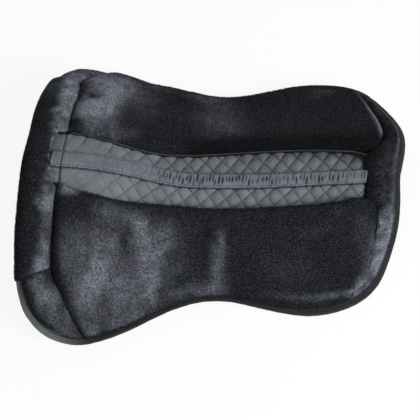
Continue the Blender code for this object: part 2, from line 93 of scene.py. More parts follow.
FRONT_SEAM = (
    (-0.2254, 0.0450), (-0.2254, 0.1000), (-0.2250, 0.1550), (-0.2150, 0.1790), (-0.2010, 0.1960),
    (-0.1880, 0.2120),
)
BAND_FRONT = (  # front edge of the rear band by the spine: back past the quilting, and out
    (0.0016, 0.0000), (0.0016, 0.0130), (0.0012, 0.0240), (0.0026, 0.0345), (0.0104, 0.0490),
)

# How the cover has shifted as it lies, on the far side: out along y for each x, and back along x
# for each y. On the near side it is the other way round.
SWAY = (
    (-0.280, 0.0105), (-0.220, 0.0105), (-0.200, 0.0060), (-0.160, 0.0000), (-0.120, -0.0035),
    (-0.080, -0.0025), (-0.040, 0.0000), (0.000, 0.0010), (0.040, 0.0030), (0.120, 0.0050),
    (0.160, 0.0050), (0.240, 0.0040), (0.300, 0.0035),
)
SLIP = (
    (0.000, 0.0000), (0.040, 0.0030), (0.085, 0.0043), (0.130, 0.0030), (0.190, 0.0000),
    (0.250, 0.0000),
)
SETTLED = {  # where the edge has settled: place and reach along x and y, and how far back and out
    -1: (
        (-0.262, 0.000, 0.035, 0.045, 0.0010, 0.0), (-0.262, 0.060, 0.035, 0.045, 0.0034, 0.0),
        (-0.275, 0.172, 0.035, 0.024, -0.0042, 0.0),
        (0.255, 0.180, 0.045, 0.050, 0.0052, 0.0), (0.022, 0.185, 0.050, 0.040, 0.0, 0.0025),
        (-0.160, 0.235, 0.040, 0.040, 0.0, 0.0014),
    ),
    1: (
        (-0.262, 0.000, 0.035, 0.030, 0.0016, 0.0), (-0.270, 0.090, 0.035, 0.036, -0.0032, 0.0),
        (-0.262, 0.165, 0.030, 0.024, 0.0036, 0.0), (0.262, 0.150, 0.045, 0.050, -0.0056, 0.0),
        (0.045, 0.190, 0.055, 0.040, 0.0, -0.0034), (-0.118, 0.200, 0.030, 0.040, 0.0, -0.0022),
        (-0.228, 0.198, 0.030, 0.035, 0.0, 0.0046),
    ),
}

# Heights above the underside
PAD_LOW = 6.4 * MM
PLUSH_CROWN = 24.0 * MM
PLUSH_EDGE = 8.6 * MM
QUILT_TOP, QUILT_GROOVE, QUILT_PUFF = 5.6 * MM, 3.6 * MM, 8.3 * MM
COVER_GROOVE, COVER_PUFF = 2.6 * MM, 0.5 * MM
TAPE_STEP = 1.7 * MM  # the plush lies this much higher where the binding tape is under it
COVER_INSET, ROLL_INSET = 4.1 * MM, 12.5 * MM

# Spine and front roll
ROLL_SEAM, ROLL_LIP, ROLL_END = -0.2262, -0.2395, 0.1660
NOTCH = 0.0450  # half width of the gap in the roll where the spine passes
TAPE_FRONT, TAPE_REAR, TAPE_HALF = -0.2385, 0.2374, 0.0110
QUILT_END = {-1: 0.2362, 1: 0.2300}  # rear end of the channel's quilting
FRONT_CROSS_SEAM, CROSS_SEAM_REACH = -0.2230, 0.0560  # sewn across the quilting, behind the roll
FAR_WRINKLES = (-0.1970, -0.1570)  # across the far half of the quilting

# The two families of sewn lines on each side: steepness, and place and spacing along the spine
QUILT_LINES = {
    1: ((-1.75, 0.0120, 0.0229), (1.10, 0.0488, 0.0302)),
    -1: ((-1.25, 0.0015, 0.0224), (0.95, 0.0497, 0.0291)),
}


def curve_value(stations, x):
    """A smooth curve through the stations, read at x."""
    xs, ys = np.array(stations, float).T
    x = np.asarray(x, float)
    i = np.clip(np.searchsorted(xs, x) - 1, 0, len(xs) - 2)
    before, after = np.maximum(i - 1, 0), np.minimum(i + 2, len(xs) - 1)
    step = xs[i + 1] - xs[i]
    slope0 = (ys[i + 1] - ys[before]) / (xs[i + 1] - xs[before])
    slope1 = (ys[after] - ys[i]) / (xs[after] - xs[i])
    t = np.clip((x - xs[i]) / step, 0.0, 1.0)
    return (
        (2 * t**3 - 3 * t**2 + 1) * ys[i]
        + (t**3 - 2 * t**2 + t) * step * slope0
        + (3 * t**2 - 2 * t**3) * ys[i + 1]
        + (t**3 - t**2) * step * slope1
    )


class PlanPath:
    """A smooth line through a few points, read by its share of length."""

    def __init__(self, points, first=0, last=None):
        last = len(points) - 1 if last is None else last
        steps = 14
        found = []
        for i in range(first, last):
            p0, p1, p2 = (np.array(points[k]) for k in (max(i - 1, 0), i, i + 1))
            p3 = np.array(points[min(i + 2, len(points) - 1)])
            for k in range(steps):
                t = k / steps
                found.append(
                    0.5 * (2 * p1 + (p2 - p0) * t + (2 * p0 - 5 * p1 + 4 * p2 - p3) * t * t
                           + (3 * p1 - p0 - 3 * p2 + p3) * t**3)
                )
        found.append(np.array(points[last], float))
        self.points = np.array(found)
        lengths = np.linalg.norm(np.diff(self.points, axis=0), axis=1)
        self.length = lengths.sum()
        self.shares = np.concatenate([[0.0], np.cumsum(lengths)]) / self.length

    def at(self, share):
        """The point at this share of the length."""
        share = np.clip(share, 0.0, 1.0)
        return tuple(np.interp(share, self.shares, self.points[:, k]) for k in range(2))

    def inward(self, share, distance):
        """The point this far to the spine's side of the line."""
        share = np.asarray(share, float)
        (ax, ay), (bx, by) = self.at(share - 0.004), self.at(share + 0.004)
        size = np.hypot(bx - ax, by - ay)
        x, y = self.at(share)
        return x + distance * (by - ay) / size, y - distance * (bx - ax) / size

    def share_near(self, x, y):
        """Share of the length at the point of the line that is nearest to x, y."""
        shares = np.linspace(0, 1, 6001)
        px, py = self.at(shares)
        return float(shares[np.argmin(np.hypot(px - x, py - y))])

    def share_at_side(self, y, first, last):
        """Share of the length where the line passes y, between two shares."""
        shares = np.linspace(first, last, 900)
        ys = self.at(shares)[1]
        return np.interp(y, ys, shares) if ys[-1] > ys[0] else np.interp(y, ys[::-1], shares[::-1])


OUTER = PlanPath(OUTLINE, 1, len(OUTLINE) - 2)

# Places on the outline, as shares of its length
FRONT_HALF, REAR_HALF = (0.0, 0.24), (0.80, 1.0)
FRONT_SPINE = float(OUTER.share_at_side(0.0, *FRONT_HALF))
REAR_SPINE = float(OUTER.share_at_side(0.0, *REAR_HALF))
MAIN_FRONT = OUTER.share_near(-0.174, 0.2340)
MAIN_REAR = OUTER.share_near(0.218, 0.190)
SLEEVE_FOOT = float(OUTER.share_at_side(ROLL_END + 0.0022, *FRONT_HALF))


def front_x(y):
    """x of the front edge, this far out from the spine."""
    return OUTER.at(OUTER.share_at_side(y, *FRONT_HALF))[0]


def underside(x, y):
    """Height of the pad's underside, never below the ground."""
    fall = curve_value(SIDE_SLOPE, x) * (np.hypot(y, RIDGE_ROUND) - RIDGE_ROUND)
    free = curve_value(RIDGE_HEIGHT, x) - fall
    return np.maximum(0.5 * (free + np.hypot(free, GROUND_ROUND)) - GROUND_SETTLE, 0.0)


def as_laid(x, y, side):
    """Where a point of the plan lies once the cover has shifted. The side may differ by point."""
    held = eased((y - 0.012) / 0.022) * eased((0.205 - y) / 0.040)  # not by the spine or the edge
    laid_x, laid_y = x + side * curve_value(SLIP, y), y + side * curve_value(SWAY, x) * held
    for which, places in SETTLED.items():
        for px, py, reach_x, reach_y, back, out in places:
            share = bell(x - px, reach_x) * bell(y - py, reach_y) * (side == which)
            laid_x, laid_y = laid_x + back * share, laid_y + out * share
    return laid_x, laid_y


def on_pad(x, y, height, side):
    """Places of points of the plan, this far above the underside. Side 1 is far and -1 near."""
    x, y = as_laid(x, y, side)
    step = 0.0005
    fall_x = (underside(x + step, y) - underside(x - step, y)) / (2 * step)
    fall_y = (underside(x, y + step) - underside(x, y - step)) / (2 * step)
    size = np.sqrt(1 + fall_x**2 + fall_y**2)
    px = x - height * fall_x / size
    py = side * (y - height * fall_y / size)
    pz = underside(x, y) + height / size
    return np.stack([px + LAY_SLIDE * py + FRAME_SHIFT, py, pz], axis=-1)


def rounded(distance, reach):
    """0 at an edge, rising like a quarter circle to 1 at reach."""
    t = 1 - np.clip(distance / reach, 0.0, 1.0)
    return np.sqrt(1 - t * t)


def eased(value):
    """0 up to 0, 1 from 1 on, and a smooth rise between."""
    t = np.clip(value, 0.0, 1.0)
    return t * t * (3 - 2 * t)


def bell(distance, width):
    """1 at no distance, falling smoothly to nothing past twice the width."""
    return np.exp(-((distance / width) ** 2))


def mixed(one, other, share):
    """The one where share is 0, and the other where it is 1."""
    return one + (other - one) * share


def soft_noise(x, y, size, seed):
    """Smooth noise from about -1 to 1, with bumps of this size in metres."""
    count = 128
    lattice = np.random.default_rng(seed).uniform(-1, 1, (count, count))
    gx, gy = np.asarray(x) / size + 41.3, np.asarray(y) / size + 17.7
    i, j = np.floor(gx).astype(int), np.floor(gy).astype(int)
    fx, fy = eased(gx - i), eased(gy - j)
    a, b = lattice[i % count, j % count], lattice[(i + 1) % count, j % count]
    c, d = lattice[i % count, (j + 1) % count], lattice[(i + 1) % count, (j + 1) % count]
    return mixed(mixed(a, b, fx), mixed(c, d, fx), fy)


def line_distance(x, y, start, end):
    """Distance from the points to the straight line from start to end, and the share along it."""
    dx, dy = end[0] - start[0], end[1] - start[1]
    along = np.clip(((x - start[0]) * dx + (y - start[1]) * dy) / (dx * dx + dy * dy), 0.0, 1.0)
    return np.hypot(x - start[0] - along * dx, y - start[1] - along * dy), along


def coons(front, rear, inner, outer):
    """A patch of plan between four lines: u from front to rear, v from inner to outer."""
    f0, f1, r0, r1 = front(0.0), front(1.0), rear(0.0), rear(1.0)

    def place(u, v):
        a, b, c, d = inner(u), outer(u), front(v), rear(v)
        return tuple(
            (1 - v) * a[k] + v * b[k] + (1 - u) * c[k] + u * d[k]
            - (1 - u) * (1 - v) * f0[k] - (1 - u) * v * f1[k] - u * (1 - v) * r0[k] - u * v * r1[k]
            for k in range(2)
        )

    return place


def straight(start, end):
    """The straight line from one point of the plan to another."""
    return lambda t: tuple(mixed(start[k], end[k], t) for k in range(2))


def along_outline(first, last, inset):
    """A stretch of the outline, moved in by an inset that may change along it."""

    def place(t):
        share = mixed(first, last, np.asarray(t, float))
        return OUTER.inward(share, inset(share) if callable(inset) else inset)

    return place


def plush_inset(share):
    """How far the plush stays in from the outline."""
    return curve_value(PLUSH_INSET, share)


def even(count, first=0.0, last=1.0):
    """The ends of this many equal steps."""
    return np.linspace(first, last, count + 1)


def drawn_in(count):
    """Steps from 0 to 1 that lie closer together near both ends."""
    t = even(count)
    return t - 0.55 * np.sin(2 * np.pi * t) / (2 * np.pi)


# Materials. A Map Range's inputs 1 to 4 are its from and to ranges. A colour Mix has its share in
# input 0, its colours in 6 and 7, and its result in output 2.


def colour(text):
    """Linear colour of an sRGB hex value."""
    parts = [int(text[k:k + 2], 16) / 255 for k in (1, 3, 5)]
    return (*[c / 12.92 if c <= 0.04045 else ((c + 0.055) / 1.055) ** 2.4 for c in parts], 1.0)


def add(tree, kind, inputs=None, out=0, **settings):
    """Adds a node and gives one of its outputs. A socket among the inputs is linked, others are set."""
    made = tree.nodes.new(kind)
    for name, value in settings.items():
        setattr(made, name, value)
    for name, value in (inputs or {}).items():
        if isinstance(value, bpy.types.NodeSocket):
            tree.links.new(value, made.inputs[name])
        else:
            made.inputs[name].default_value = value
    return made.outputs[out] if len(made.outputs) else None


def new_material(name):
    """A material without nodes, and its tree."""
    made = bpy.data.materials.new(name)
    made.use_nodes = True
    made.node_tree.nodes.clear()
    return made, made.node_tree


def finish_material(tree, base, height, bump_distance, strength, **uniform):
    """The shader: base colour and bump from nodes, and its even values on its own sockets."""
    bump = add(
        tree, "ShaderNodeBump", {"Height": height, "Distance": bump_distance, "Strength": strength}
    )
    even_values = {name.replace("_", " "): value for name, value in uniform.items()}
    shader = add(
        tree, "ShaderNodeBsdfPrincipled", {"Base Color": base, "Normal": bump} | even_values
    )
    add(tree, "ShaderNodeOutputMaterial", {"Surface": shader})


def plush_material():
    """Dense polyester plush, sheared short: near black with a blue or violet cast.

    Where the pile is brushed up, a painted sheen makes it bloom silvery, in clumps about 9 and
    3.3 mm wide; the same values also carry painted shade. Its tufts are 0.4 mm wide in the real
    cloth, and drawn 1.4 mm wide so that they show.
    """
    made, tree = new_material("brushed_polyester_plush")
    where = add(tree, "ShaderNodeTexCoord", out="Object")
    tone_sheen_and_shade = add(tree, "ShaderNodeAttribute", attribute_name="tone_sheen_and_shade", out="Fac")
    clump, lock, tuft, hue = (
        add(tree, "ShaderNodeTexNoise", {"Vector": where, "Scale": 1 / (wide * MM), "Detail": detail})
        for wide, detail in ((9, 2.0), (3.3, 2.0), (1.4, 1.0), (42, 1.0))
    )
    clump = add(tree, "ShaderNodeMapRange", {0: clump, 1: 0.32, 2: 0.68, 3: 0.82, 4: 1.18})
    lock = add(tree, "ShaderNodeMapRange", {0: lock, 1: 0.30, 2: 0.70, 3: 0.46, 4: 1.54})
    grain = add(tree, "ShaderNodeMapRange", {0: tuft, 1: 0.30, 2: 0.70, 3: -0.070, 4: 0.105})
    grain = add(tree, "ShaderNodeMath", {0: grain, 1: lock}, operation="MULTIPLY")
    lit = add(tree, "ShaderNodeMath", {0: clump, 1: lock}, operation="MULTIPLY")
    lit = add(
        tree, "ShaderNodeMath", {0: lit, 1: tone_sheen_and_shade, 2: grain}, operation="MULTIPLY_ADD", use_clamp=True
    )
    tint = add(tree, "ShaderNodeMapRange", {0: hue, 1: 0.44, 2: 0.62, 3: 0.0, 4: 1.0})
    # dark is the plush's own near black; pale is the colour of the painted sheen at full strength
    dark, pale = (
        add(tree, "ShaderNodeMix", {0: tint, 6: colour(blue), 7: colour(violet)}, 2, data_type="RGBA")
        for blue, violet in (("#040405", "#060508"), ("#8a919b", "#888a97"))
    )
    base = add(tree, "ShaderNodeMix", {0: lit, 6: dark, 7: pale}, 2, data_type="RGBA")
    finish_material(
        tree, base, tuft, 0.5 * MM, 0.6, Roughness=0.95, Specular_IOR_Level=0.10,
        Sheen_Weight=0.035, Sheen_Roughness=0.35, Sheen_Tint=colour("#9aa2b8"),
    )
    return made


def cloth_material(name, light, dark, seam, pitch, turn, sewn=False):
    """Woven cotton: fine ribs, thread-to-thread colour changes, soft wear, darker grooves and painted
    shade.

    Each rib is one pitch wide, and the ribs are turned by turn degrees. A sewn cloth also has the
    two families of quilting lines, darkest along the thread and 2 to 3 mm wide. A Wave texture
    repeats every pi / 10 m at scale 1.
    """
    made, tree = new_material(name)
    where = add(tree, "ShaderNodeTexCoord", out="Object")
    plan = add(tree, "ShaderNodeUVMap", uv_map="Plan")
    turned = add(tree, "ShaderNodeMapping", {"Vector": plan, "Rotation": (0, 0, math.radians(turn))})
    ribs = add(
        tree, "ShaderNodeTexWave",
        {
            "Vector": turned, "Scale": math.pi / (10 * pitch), "Distortion": 0.5,
            "Detail": 1.0, "Detail Scale": 2.0,
        },
        "Fac", wave_type="BANDS", bands_direction="X",
    )
    slub, wash = (
        add(tree, "ShaderNodeTexNoise", {"Vector": where, "Scale": 1 / (wide * MM), "Detail": detail})
        for wide, detail in ((2.4, 3.0), (30, 2.0))
    )
    share = add(tree, "ShaderNodeMapRange", {0: slub, 1: 0.30, 2: 0.70, 3: 0.0, 4: 0.75})
    share = add(tree, "ShaderNodeMath", {0: ribs, 1: 0.30, 2: share}, operation="MULTIPLY_ADD")
    wash = add(tree, "ShaderNodeMapRange", {0: wash, 1: 0.35, 2: 0.65, 3: -0.22, 4: 0.22})
    share = add(tree, "ShaderNodeMath", {0: share, 1: wash}, operation="ADD", use_clamp=True)
    cloth = add(
        tree, "ShaderNodeMix", {0: share, 6: colour(dark), 7: colour(light)}, 2, data_type="RGBA"
    )
    groove_and_shade = add(tree, "ShaderNodeAttribute", attribute_name="groove_and_shade", out="Fac")
    if sewn:
        firm = add(tree, "ShaderNodeAttribute", attribute_name="firm", out="Fac")
        phases = add(tree, "ShaderNodeUVMap", uv_map="Seams")
        on_lines = []
        for axis in (0, 1):
            phase = add(tree, "ShaderNodeSeparateXYZ", {0: phases}, axis)
            away = add(tree, "ShaderNodeMath", {0: phase, 1: 0.5}, operation="PINGPONG")
            on_lines.append(
                add(tree, "ShaderNodeMapRange", {0: away, 1: 0.024, 2: 0.075, 3: 1.0, 4: 0.0})
            )
        line = add(tree, "ShaderNodeMath", {0: on_lines[0], 1: on_lines[1]}, operation="MAXIMUM")
        line = add(tree, "ShaderNodeMath", {0: line, 1: firm}, operation="MULTIPLY")
        groove_and_shade = add(tree, "ShaderNodeMath", {0: groove_and_shade, 1: line}, operation="ADD", use_clamp=True)
    # The seam colour marks the grooves, and is also the colour of the painted shade that the attribute
    # gives.
    base = add(tree, "ShaderNodeMix", {0: groove_and_shade, 6: cloth, 7: colour(seam)}, 2, data_type="RGBA")
    height = add(tree, "ShaderNodeMath", {0: slub, 1: 0.6, 2: ribs}, operation="MULTIPLY_ADD")
    height = add(tree, "ShaderNodeMath", {0: groove_and_shade, 1: -1.2, 2: height}, operation="MULTIPLY_ADD")
    finish_material(
        tree, base, height, 0.30 * MM, 0.6, Roughness=0.88, Specular_IOR_Level=0.22,
        Sheen_Weight=0.04, Sheen_Roughness=0.5,
    )
    return made


def thread_material(name, light, dark):
    """Twisted polyester thread: a little smoother than the cloth round it."""
    made, tree = new_material(name)
    where = add(tree, "ShaderNodeTexCoord", out="Object")
    strand = add(tree, "ShaderNodeTexNoise", {"Vector": where, "Scale": 1 / (0.8 * MM), "Detail": 2.0})
    base = add(
        tree, "ShaderNodeMix", {0: strand, 6: colour(dark), 7: colour(light)}, 2, data_type="RGBA"
    )
    finish_material(tree, base, strand, 0.15 * MM, 0.5, Roughness=0.6, Specular_IOR_Level=0.4)
    return made


def foam_material():
    """Open-cell polyurethane foam: cream, with pits about 1.4 mm wide."""
    made, tree = new_material("open_cell_foam")
    where = add(tree, "ShaderNodeTexCoord", out="Object")
    cells = add(tree, "ShaderNodeTexVoronoi", {"Vector": where, "Scale": 1 / (1.4 * MM)}, "Distance")
    base = add(
        tree, "ShaderNodeMix", {0: cells, 6: colour("#b9ac86"), 7: colour("#ded4b4")}, 2,
        data_type="RGBA",
    )
    finish_material(tree, base, cells, 0.4 * MM, 0.8, Roughness=0.95, Specular_IOR_Level=0.2)
    return made


def elastic_material():
    """Woven flat elastic: off-white, ribbed along its length every 1 mm."""
    made, tree = new_material("woven_elastic")
    where = add(tree, "ShaderNodeTexCoord", out="Object")
    ribs = add(
        tree, "ShaderNodeTexWave",
        {"Vector": where, "Scale": math.pi / (10 * MM), "Distortion": 0.3},
        "Fac", wave_type="BANDS", bands_direction="Y",
    )
    base = add(
        tree, "ShaderNodeMix", {0: ribs, 6: colour("#a9a8a2"), 7: colour("#dddcd6")}, 2,
        data_type="RGBA",
    )
    finish_material(tree, base, ribs, 0.3 * MM, 0.8, Roughness=0.8, Specular_IOR_Level=0.3)
    return made


PLUSH = plush_material()
# Slate twill with a slightly washed look, its grooves and painted shade nearly black
QUILTED = cloth_material(
    "quilted_cotton_twill", "#6f757a", "#565c60", "#0d0e10", 1.1 * MM, 45, sewn=True
)
# Grey-green tape, coarser than the twill, with ribs along the edge, darker lines, painted shade at its
# inner edge and darker towards the rear
BINDING = cloth_material("cotton_binding_tape", "#6b726c", "#474c49", "#1c1f1e", 1.5 * MM, 90)
# Blue-grey tape, finely woven, with painted shade in the slits and crinkles between its gathers
RUCHED = cloth_material("gathered_cotton_tape", "#70767f", "#545a63", "#1b1d22", 0.9 * MM, 0)
# Charcoal cotton drawn tight over its cord
PIPING = cloth_material("corded_piping", "#3e4245", "#25282b", "#141517", 0.9 * MM, 30)
PALE_THREAD = thread_material("pale_polyester_thread", "#b9bbb6", "#858883")
SLATE_THREAD = thread_material("slate_polyester_thread", "#5d6365", "#34393b")
BLACK_THREAD = thread_material("black_polyester_thread", "#26282c", "#0e0f12")
FOAM = foam_material()
ELASTIC = elastic_material()


# Making a piece

PILE_LEAN = 0.7  # of the tufts, against their height


def mesh_of(name, bm):
    """A new mesh that takes over what was modelled."""
    mesh = bpy.data.meshes.new(name)
    bm.to_mesh(mesh)
    bm.free()
    return mesh


def add_object(name, data):
    """An object at the origin, in the scene."""
    made = bpy.data.objects.new(name, data)
    bpy.context.scene.collection.objects.link(made)
    return made


def finished_piece(name, mesh, material):
    """The object of a mesh that is in its place."""
    mesh.shade_smooth()
    mesh.materials.append(material)
    return add_object(name, mesh)


def shell(name, us, vs, skin, lining, side, material, marks, pile=0.0, weave=None, seams=None):
    """A closed piece of cloth between its skin and its lining.

    Both take u and v and give plan x, plan y and height. With a pile, every face of the skin is
    raised to a tuft that leans over. marks are values over the surface, weave gives the cloth's
    coordinates in metres, and seams its place between the sewn lines.
    """
    us, vs = np.asarray(us, float), np.asarray(vs, float)
    bm = bmesh.new()
    bmesh.ops.create_grid(bm, x_segments=len(us) - 1, y_segments=len(vs) - 1, size=0.5)
    count = len(bm.verts)
    bmesh.ops.extrude_face_region(bm, geom=bm.faces[:])
    if pile:
        bm.verts.index_update()
        top = [face for face in bm.faces if min(vert.index for vert in face.verts) >= count]
        bmesh.ops.poke(bm, faces=top)
    mesh = mesh_of(name, bm)
    inside, outside, tips = slice(0, count), slice(count, 2 * count), slice(2 * count, None)

    found = np.zeros(len(mesh.vertices) * 3)
    mesh.vertices.foreach_get("co", found)
    column = (found[0::3] + 0.5) * (len(us) - 1)
    row = (found[1::3] + 0.5) * (len(vs) - 1)
    u = np.interp(column, np.arange(len(us)), us)
    v = np.interp(row, np.arange(len(vs)), vs)

    grid_u, grid_v = np.meshgrid(us, vs)
    skin_grid = place_points(skin, grid_u, grid_v, side)
    lining_grid = place_points(lining, grid_u, grid_v, side)
    i, j = np.rint(column[:2 * count]).astype(int), np.rint(row[:2 * count]).astype(int)
    points = np.zeros((len(u), 3))
    points[inside] = lining_grid[j[inside], i[inside]]
    points[outside] = skin_grid[j[outside], i[outside]]
    if pile:
        length = pile(u[tips], v[tips]) if callable(pile) else pile
        points[tips] = tuft_tips(skin_grid, column[tips], row[tips], length, side, name)
    mesh.vertices.foreach_set("co", points.ravel())

    bm = bmesh.new()
    bm.from_mesh(mesh)
    bmesh.ops.recalc_face_normals(bm, faces=bm.faces[:])
    if bm.calc_volume(signed=True) < 0:
        bmesh.ops.reverse_faces(bm, faces=bm.faces[:])
    bm.to_mesh(mesh)
    bm.free()

    x, y, _ = skin(u, v)
    cloth_uv(mesh, "Plan", *(weave(u, v) if weave else (x, y)))
    if seams:
        cloth_uv(mesh, "Seams", *seams(x, y))
    tip = np.arange(len(u)) >= 2 * count
    for mark, value in marks.items():
        values = np.broadcast_to(value(x, y, u, v, tip), u.shape).astype(np.float32)
        mesh.attributes.new(mark, "FLOAT", "POINT").data.foreach_set("value", values)
    return finished_piece(name, mesh, material)


def place_points(surface, u, v, side):
    """Places of a surface's points. Side 0 is for what crosses the spine, where y has both signs."""
    x, y, height = surface(u, v)
    if side:
        return on_pad(x, y, height, side)
    return on_pad(x, np.abs(y), height, np.where(y < 0, -1.0, 1.0))


def tuft_tips(grid, gi, gj, length, side, name):
    """Tips of the tufts: out from the middle of each face of the skin, and leaning along it.

    The name is the seed of their lengths and of how they stray.
    """
    i, j = np.floor(gi).astype(int), np.floor(gj).astype(int)
    a, b, c, d = grid[j, i], grid[j, i + 1], grid[j + 1, i + 1], grid[j + 1, i]
    middle = (a + b + c + d) / 4
    along, across = (b + c - a - d) / 2, (c + d - a - b) / 2
    out = np.cross(along, across) * side
    out /= np.maximum(np.linalg.norm(out, axis=1, keepdims=True), 1e-12)
    rng = np.random.default_rng(sum(map(ord, name)))
    length = (length * rng.uniform(0.35, 1.3, len(i)))[:, None]
    stray = rng.normal(0, 0.45, (len(i), 2))
    flow = along / np.maximum(np.linalg.norm(along, axis=1, keepdims=True), 1e-12)
    fall = across / np.maximum(np.linalg.norm(across, axis=1, keepdims=True), 1e-12)
    drift = PILE_LEAN * ((0.7 + stray[:, :1]) * flow + (0.5 + stray[:, 1:]) * fall)
    return middle + (out + drift) * length


def cloth_uv(mesh, name, x, y):
    """A UV map that holds two values of each point."""
    corners = np.zeros(len(mesh.loops), np.int32)
    mesh.loops.foreach_get("vertex_index", corners)
    values = np.stack([x[corners], y[corners]], axis=1).astype(np.float32)
    mesh.uv_layers.new(name=name).uv.foreach_set("vector", values.ravel())


def stitch_row(name, x, y, height, side, pitch, length, thick, material, share=1.0):
    """Stitches at an even pitch along a line of the plan: small beads of thread that lie along it."""
    line = place_points(
        lambda u, v: (u, v, height), np.asarray(x, float), np.asarray(y, float), side
    )
    run = np.concatenate([[0.0], np.cumsum(np.linalg.norm(np.diff(line, axis=0), axis=1))])

    def on_line(at):
        return np.stack([np.interp(at, run, line[:, k]) for k in range(3)], axis=1)

    at = np.arange(pitch / 2, run[-1], pitch)
    points, ahead = on_line(at), on_line(at + 0.8 * MM) - on_line(at - 0.8 * MM)
    shown = np.random.default_rng(len(at)).uniform(0, 1, len(at)) < share
    size = Matrix.Diagonal((length / 2, thick / 2, thick / 2, 1.0))
    bm = bmesh.new()
    for point, direction in zip(points[shown], ahead[shown]):
        turn = Vector(direction).to_track_quat("X", "Z").to_matrix().to_4x4()
        place = Matrix.Translation(Vector(point)) @ turn @ size
        bmesh.ops.create_icosphere(bm, subdivisions=1, radius=1.0, matrix=place)
    return finished_piece(name, mesh_of(name, bm), material)


def tube(name, points, radius, material, sides=8):
    """A closed cord along the points."""
    rings = len(points)
    ahead = np.gradient(points, axis=0)
    ahead /= np.linalg.norm(ahead, axis=1, keepdims=True)
    out = np.cross(ahead, (0, 0, 1.0))
    out /= np.linalg.norm(out, axis=1, keepdims=True)
    up = np.cross(out, ahead)
    bm = bmesh.new()
    bmesh.ops.create_grid(bm, x_segments=sides, y_segments=rings - 1, size=0.5)
    for vert in bm.verts:
        turn = 2 * math.pi * (vert.co.x + 0.5)
        ring = round((vert.co.y + 0.5) * (rings - 1))
        vert.co = points[ring] + radius * (math.cos(turn) * out[ring] + math.sin(turn) * up[ring])
    bmesh.ops.remove_doubles(bm, verts=bm.verts[:], dist=radius * 0.02)
    bmesh.ops.holes_fill(bm, edges=[edge for edge in bm.edges if edge.is_boundary])
    bmesh.ops.recalc_face_normals(bm, faces=bm.faces[:])
    mesh = mesh_of(name, bm)
    mesh.uv_layers.new(name="Plan")
    return finished_piece(name, mesh, material)


def bends(piece):
    """Bakes the piece's place into its mesh."""
    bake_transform(piece)


# Quilted cotton


def channel_edge(x):
    """Distance from the spine to the edge of the open channel."""
    return curve_value(CHANNEL_EDGE, np.maximum(x, CHANNEL_EDGE[0][0]))


def cross_seam(x, y, side, width):
    """1 on the line that is sewn across the quilting behind the roll."""
    seam = FRONT_CROSS_SEAM - 0.0025 * side * eased(y / 0.05)
    return bell(x - seam, width) * (y < CROSS_SEAM_REACH)


def far_wrinkles(x, y, side, width):
    """1 on the small wrinkles across the far half of the quilting."""
    across = sum(bell(x - place - 0.15 * (y - 0.04), width) for place in FAR_WRINKLES)
    return across * eased((y - 0.022) / 0.01) * (side > 0)


def sewn_phases(x, y, side):
    """Place between the sewn lines of each family: a whole number lies on a line."""
    x, y = as_laid(x, y, side)
    wander = 0.9 * MM * soft_noise(x, y, 0.034, 5 + side)
    return [(x + wander + y / lean - start) / step for (lean, start, step) in QUILT_LINES[side]]


def diamonds(x, y, side):
    """Height of the wadding in each diamond, 0 along the sewn lines and 1 in the middle."""
    one, other = sewn_phases(x, y, side)
    return np.abs(np.sin(np.pi * one) * np.sin(np.pi * other)) ** 0.62


def quilt_firmness(x, y):
    """How deep the quilting is drawn: slack towards the front roll."""
    slack = 0.42 + 0.20 * soft_noise(x, y, 0.022, 9)
    return mixed(slack, 1, eased((x + 0.175) / 0.075))


def past_quilt_end(x, y, side):
    """How far a point is past the rounded rear end of the channel's quilting."""
    corner = 0.014
    wide = curve_value(CHANNEL_EDGE, x) - 0.0040 - 0.0040 * eased((x - 0.200) / 0.020)
    past_x = np.maximum(x - QUILT_END[side] + corner, 0)
    past_y = np.maximum(y - wide + corner, 0)
    return np.hypot(past_x, past_y) - corner


def quilt_height(x, y, v, side):
    """Top of the quilting: puffs in the channel, flat under the plush, pressed thin in the binding."""
    edge = channel_edge(x)
    firm = quilt_firmness(x, y)
    full = mixed(QUILT_GROOVE, QUILT_PUFF, 1 - firm + firm * diamonds(x, y, side))
    by_tape = 6.4 * MM + 2.0 * MM * eased((y - 0.0095) / 0.006)
    full = np.minimum(full, by_tape) + 0.35 * MM * soft_noise(x, y, 0.007, 10)
    full = full - 2.0 * MM * cross_seam(x, y, side, 0.0020)
    full = full - 0.9 * MM * far_wrinkles(x, y, side, 0.0022)
    full = mixed(full, 4.0 * MM, eased((y - edge + 0.0042) / 0.0032) * (x < 0.236))
    rear_end = eased((past_quilt_end(x, y, side) + 0.0035) / 0.0045) * (x > 0.200)
    full = mixed(full, 3.5 * MM, rear_end)
    full = mixed(full, QUILT_TOP, eased((y - edge - 0.0015) / 0.006))
    return mixed(full, QUILT_TOP - 0.7 * MM, eased((v - 0.90) / 0.05))


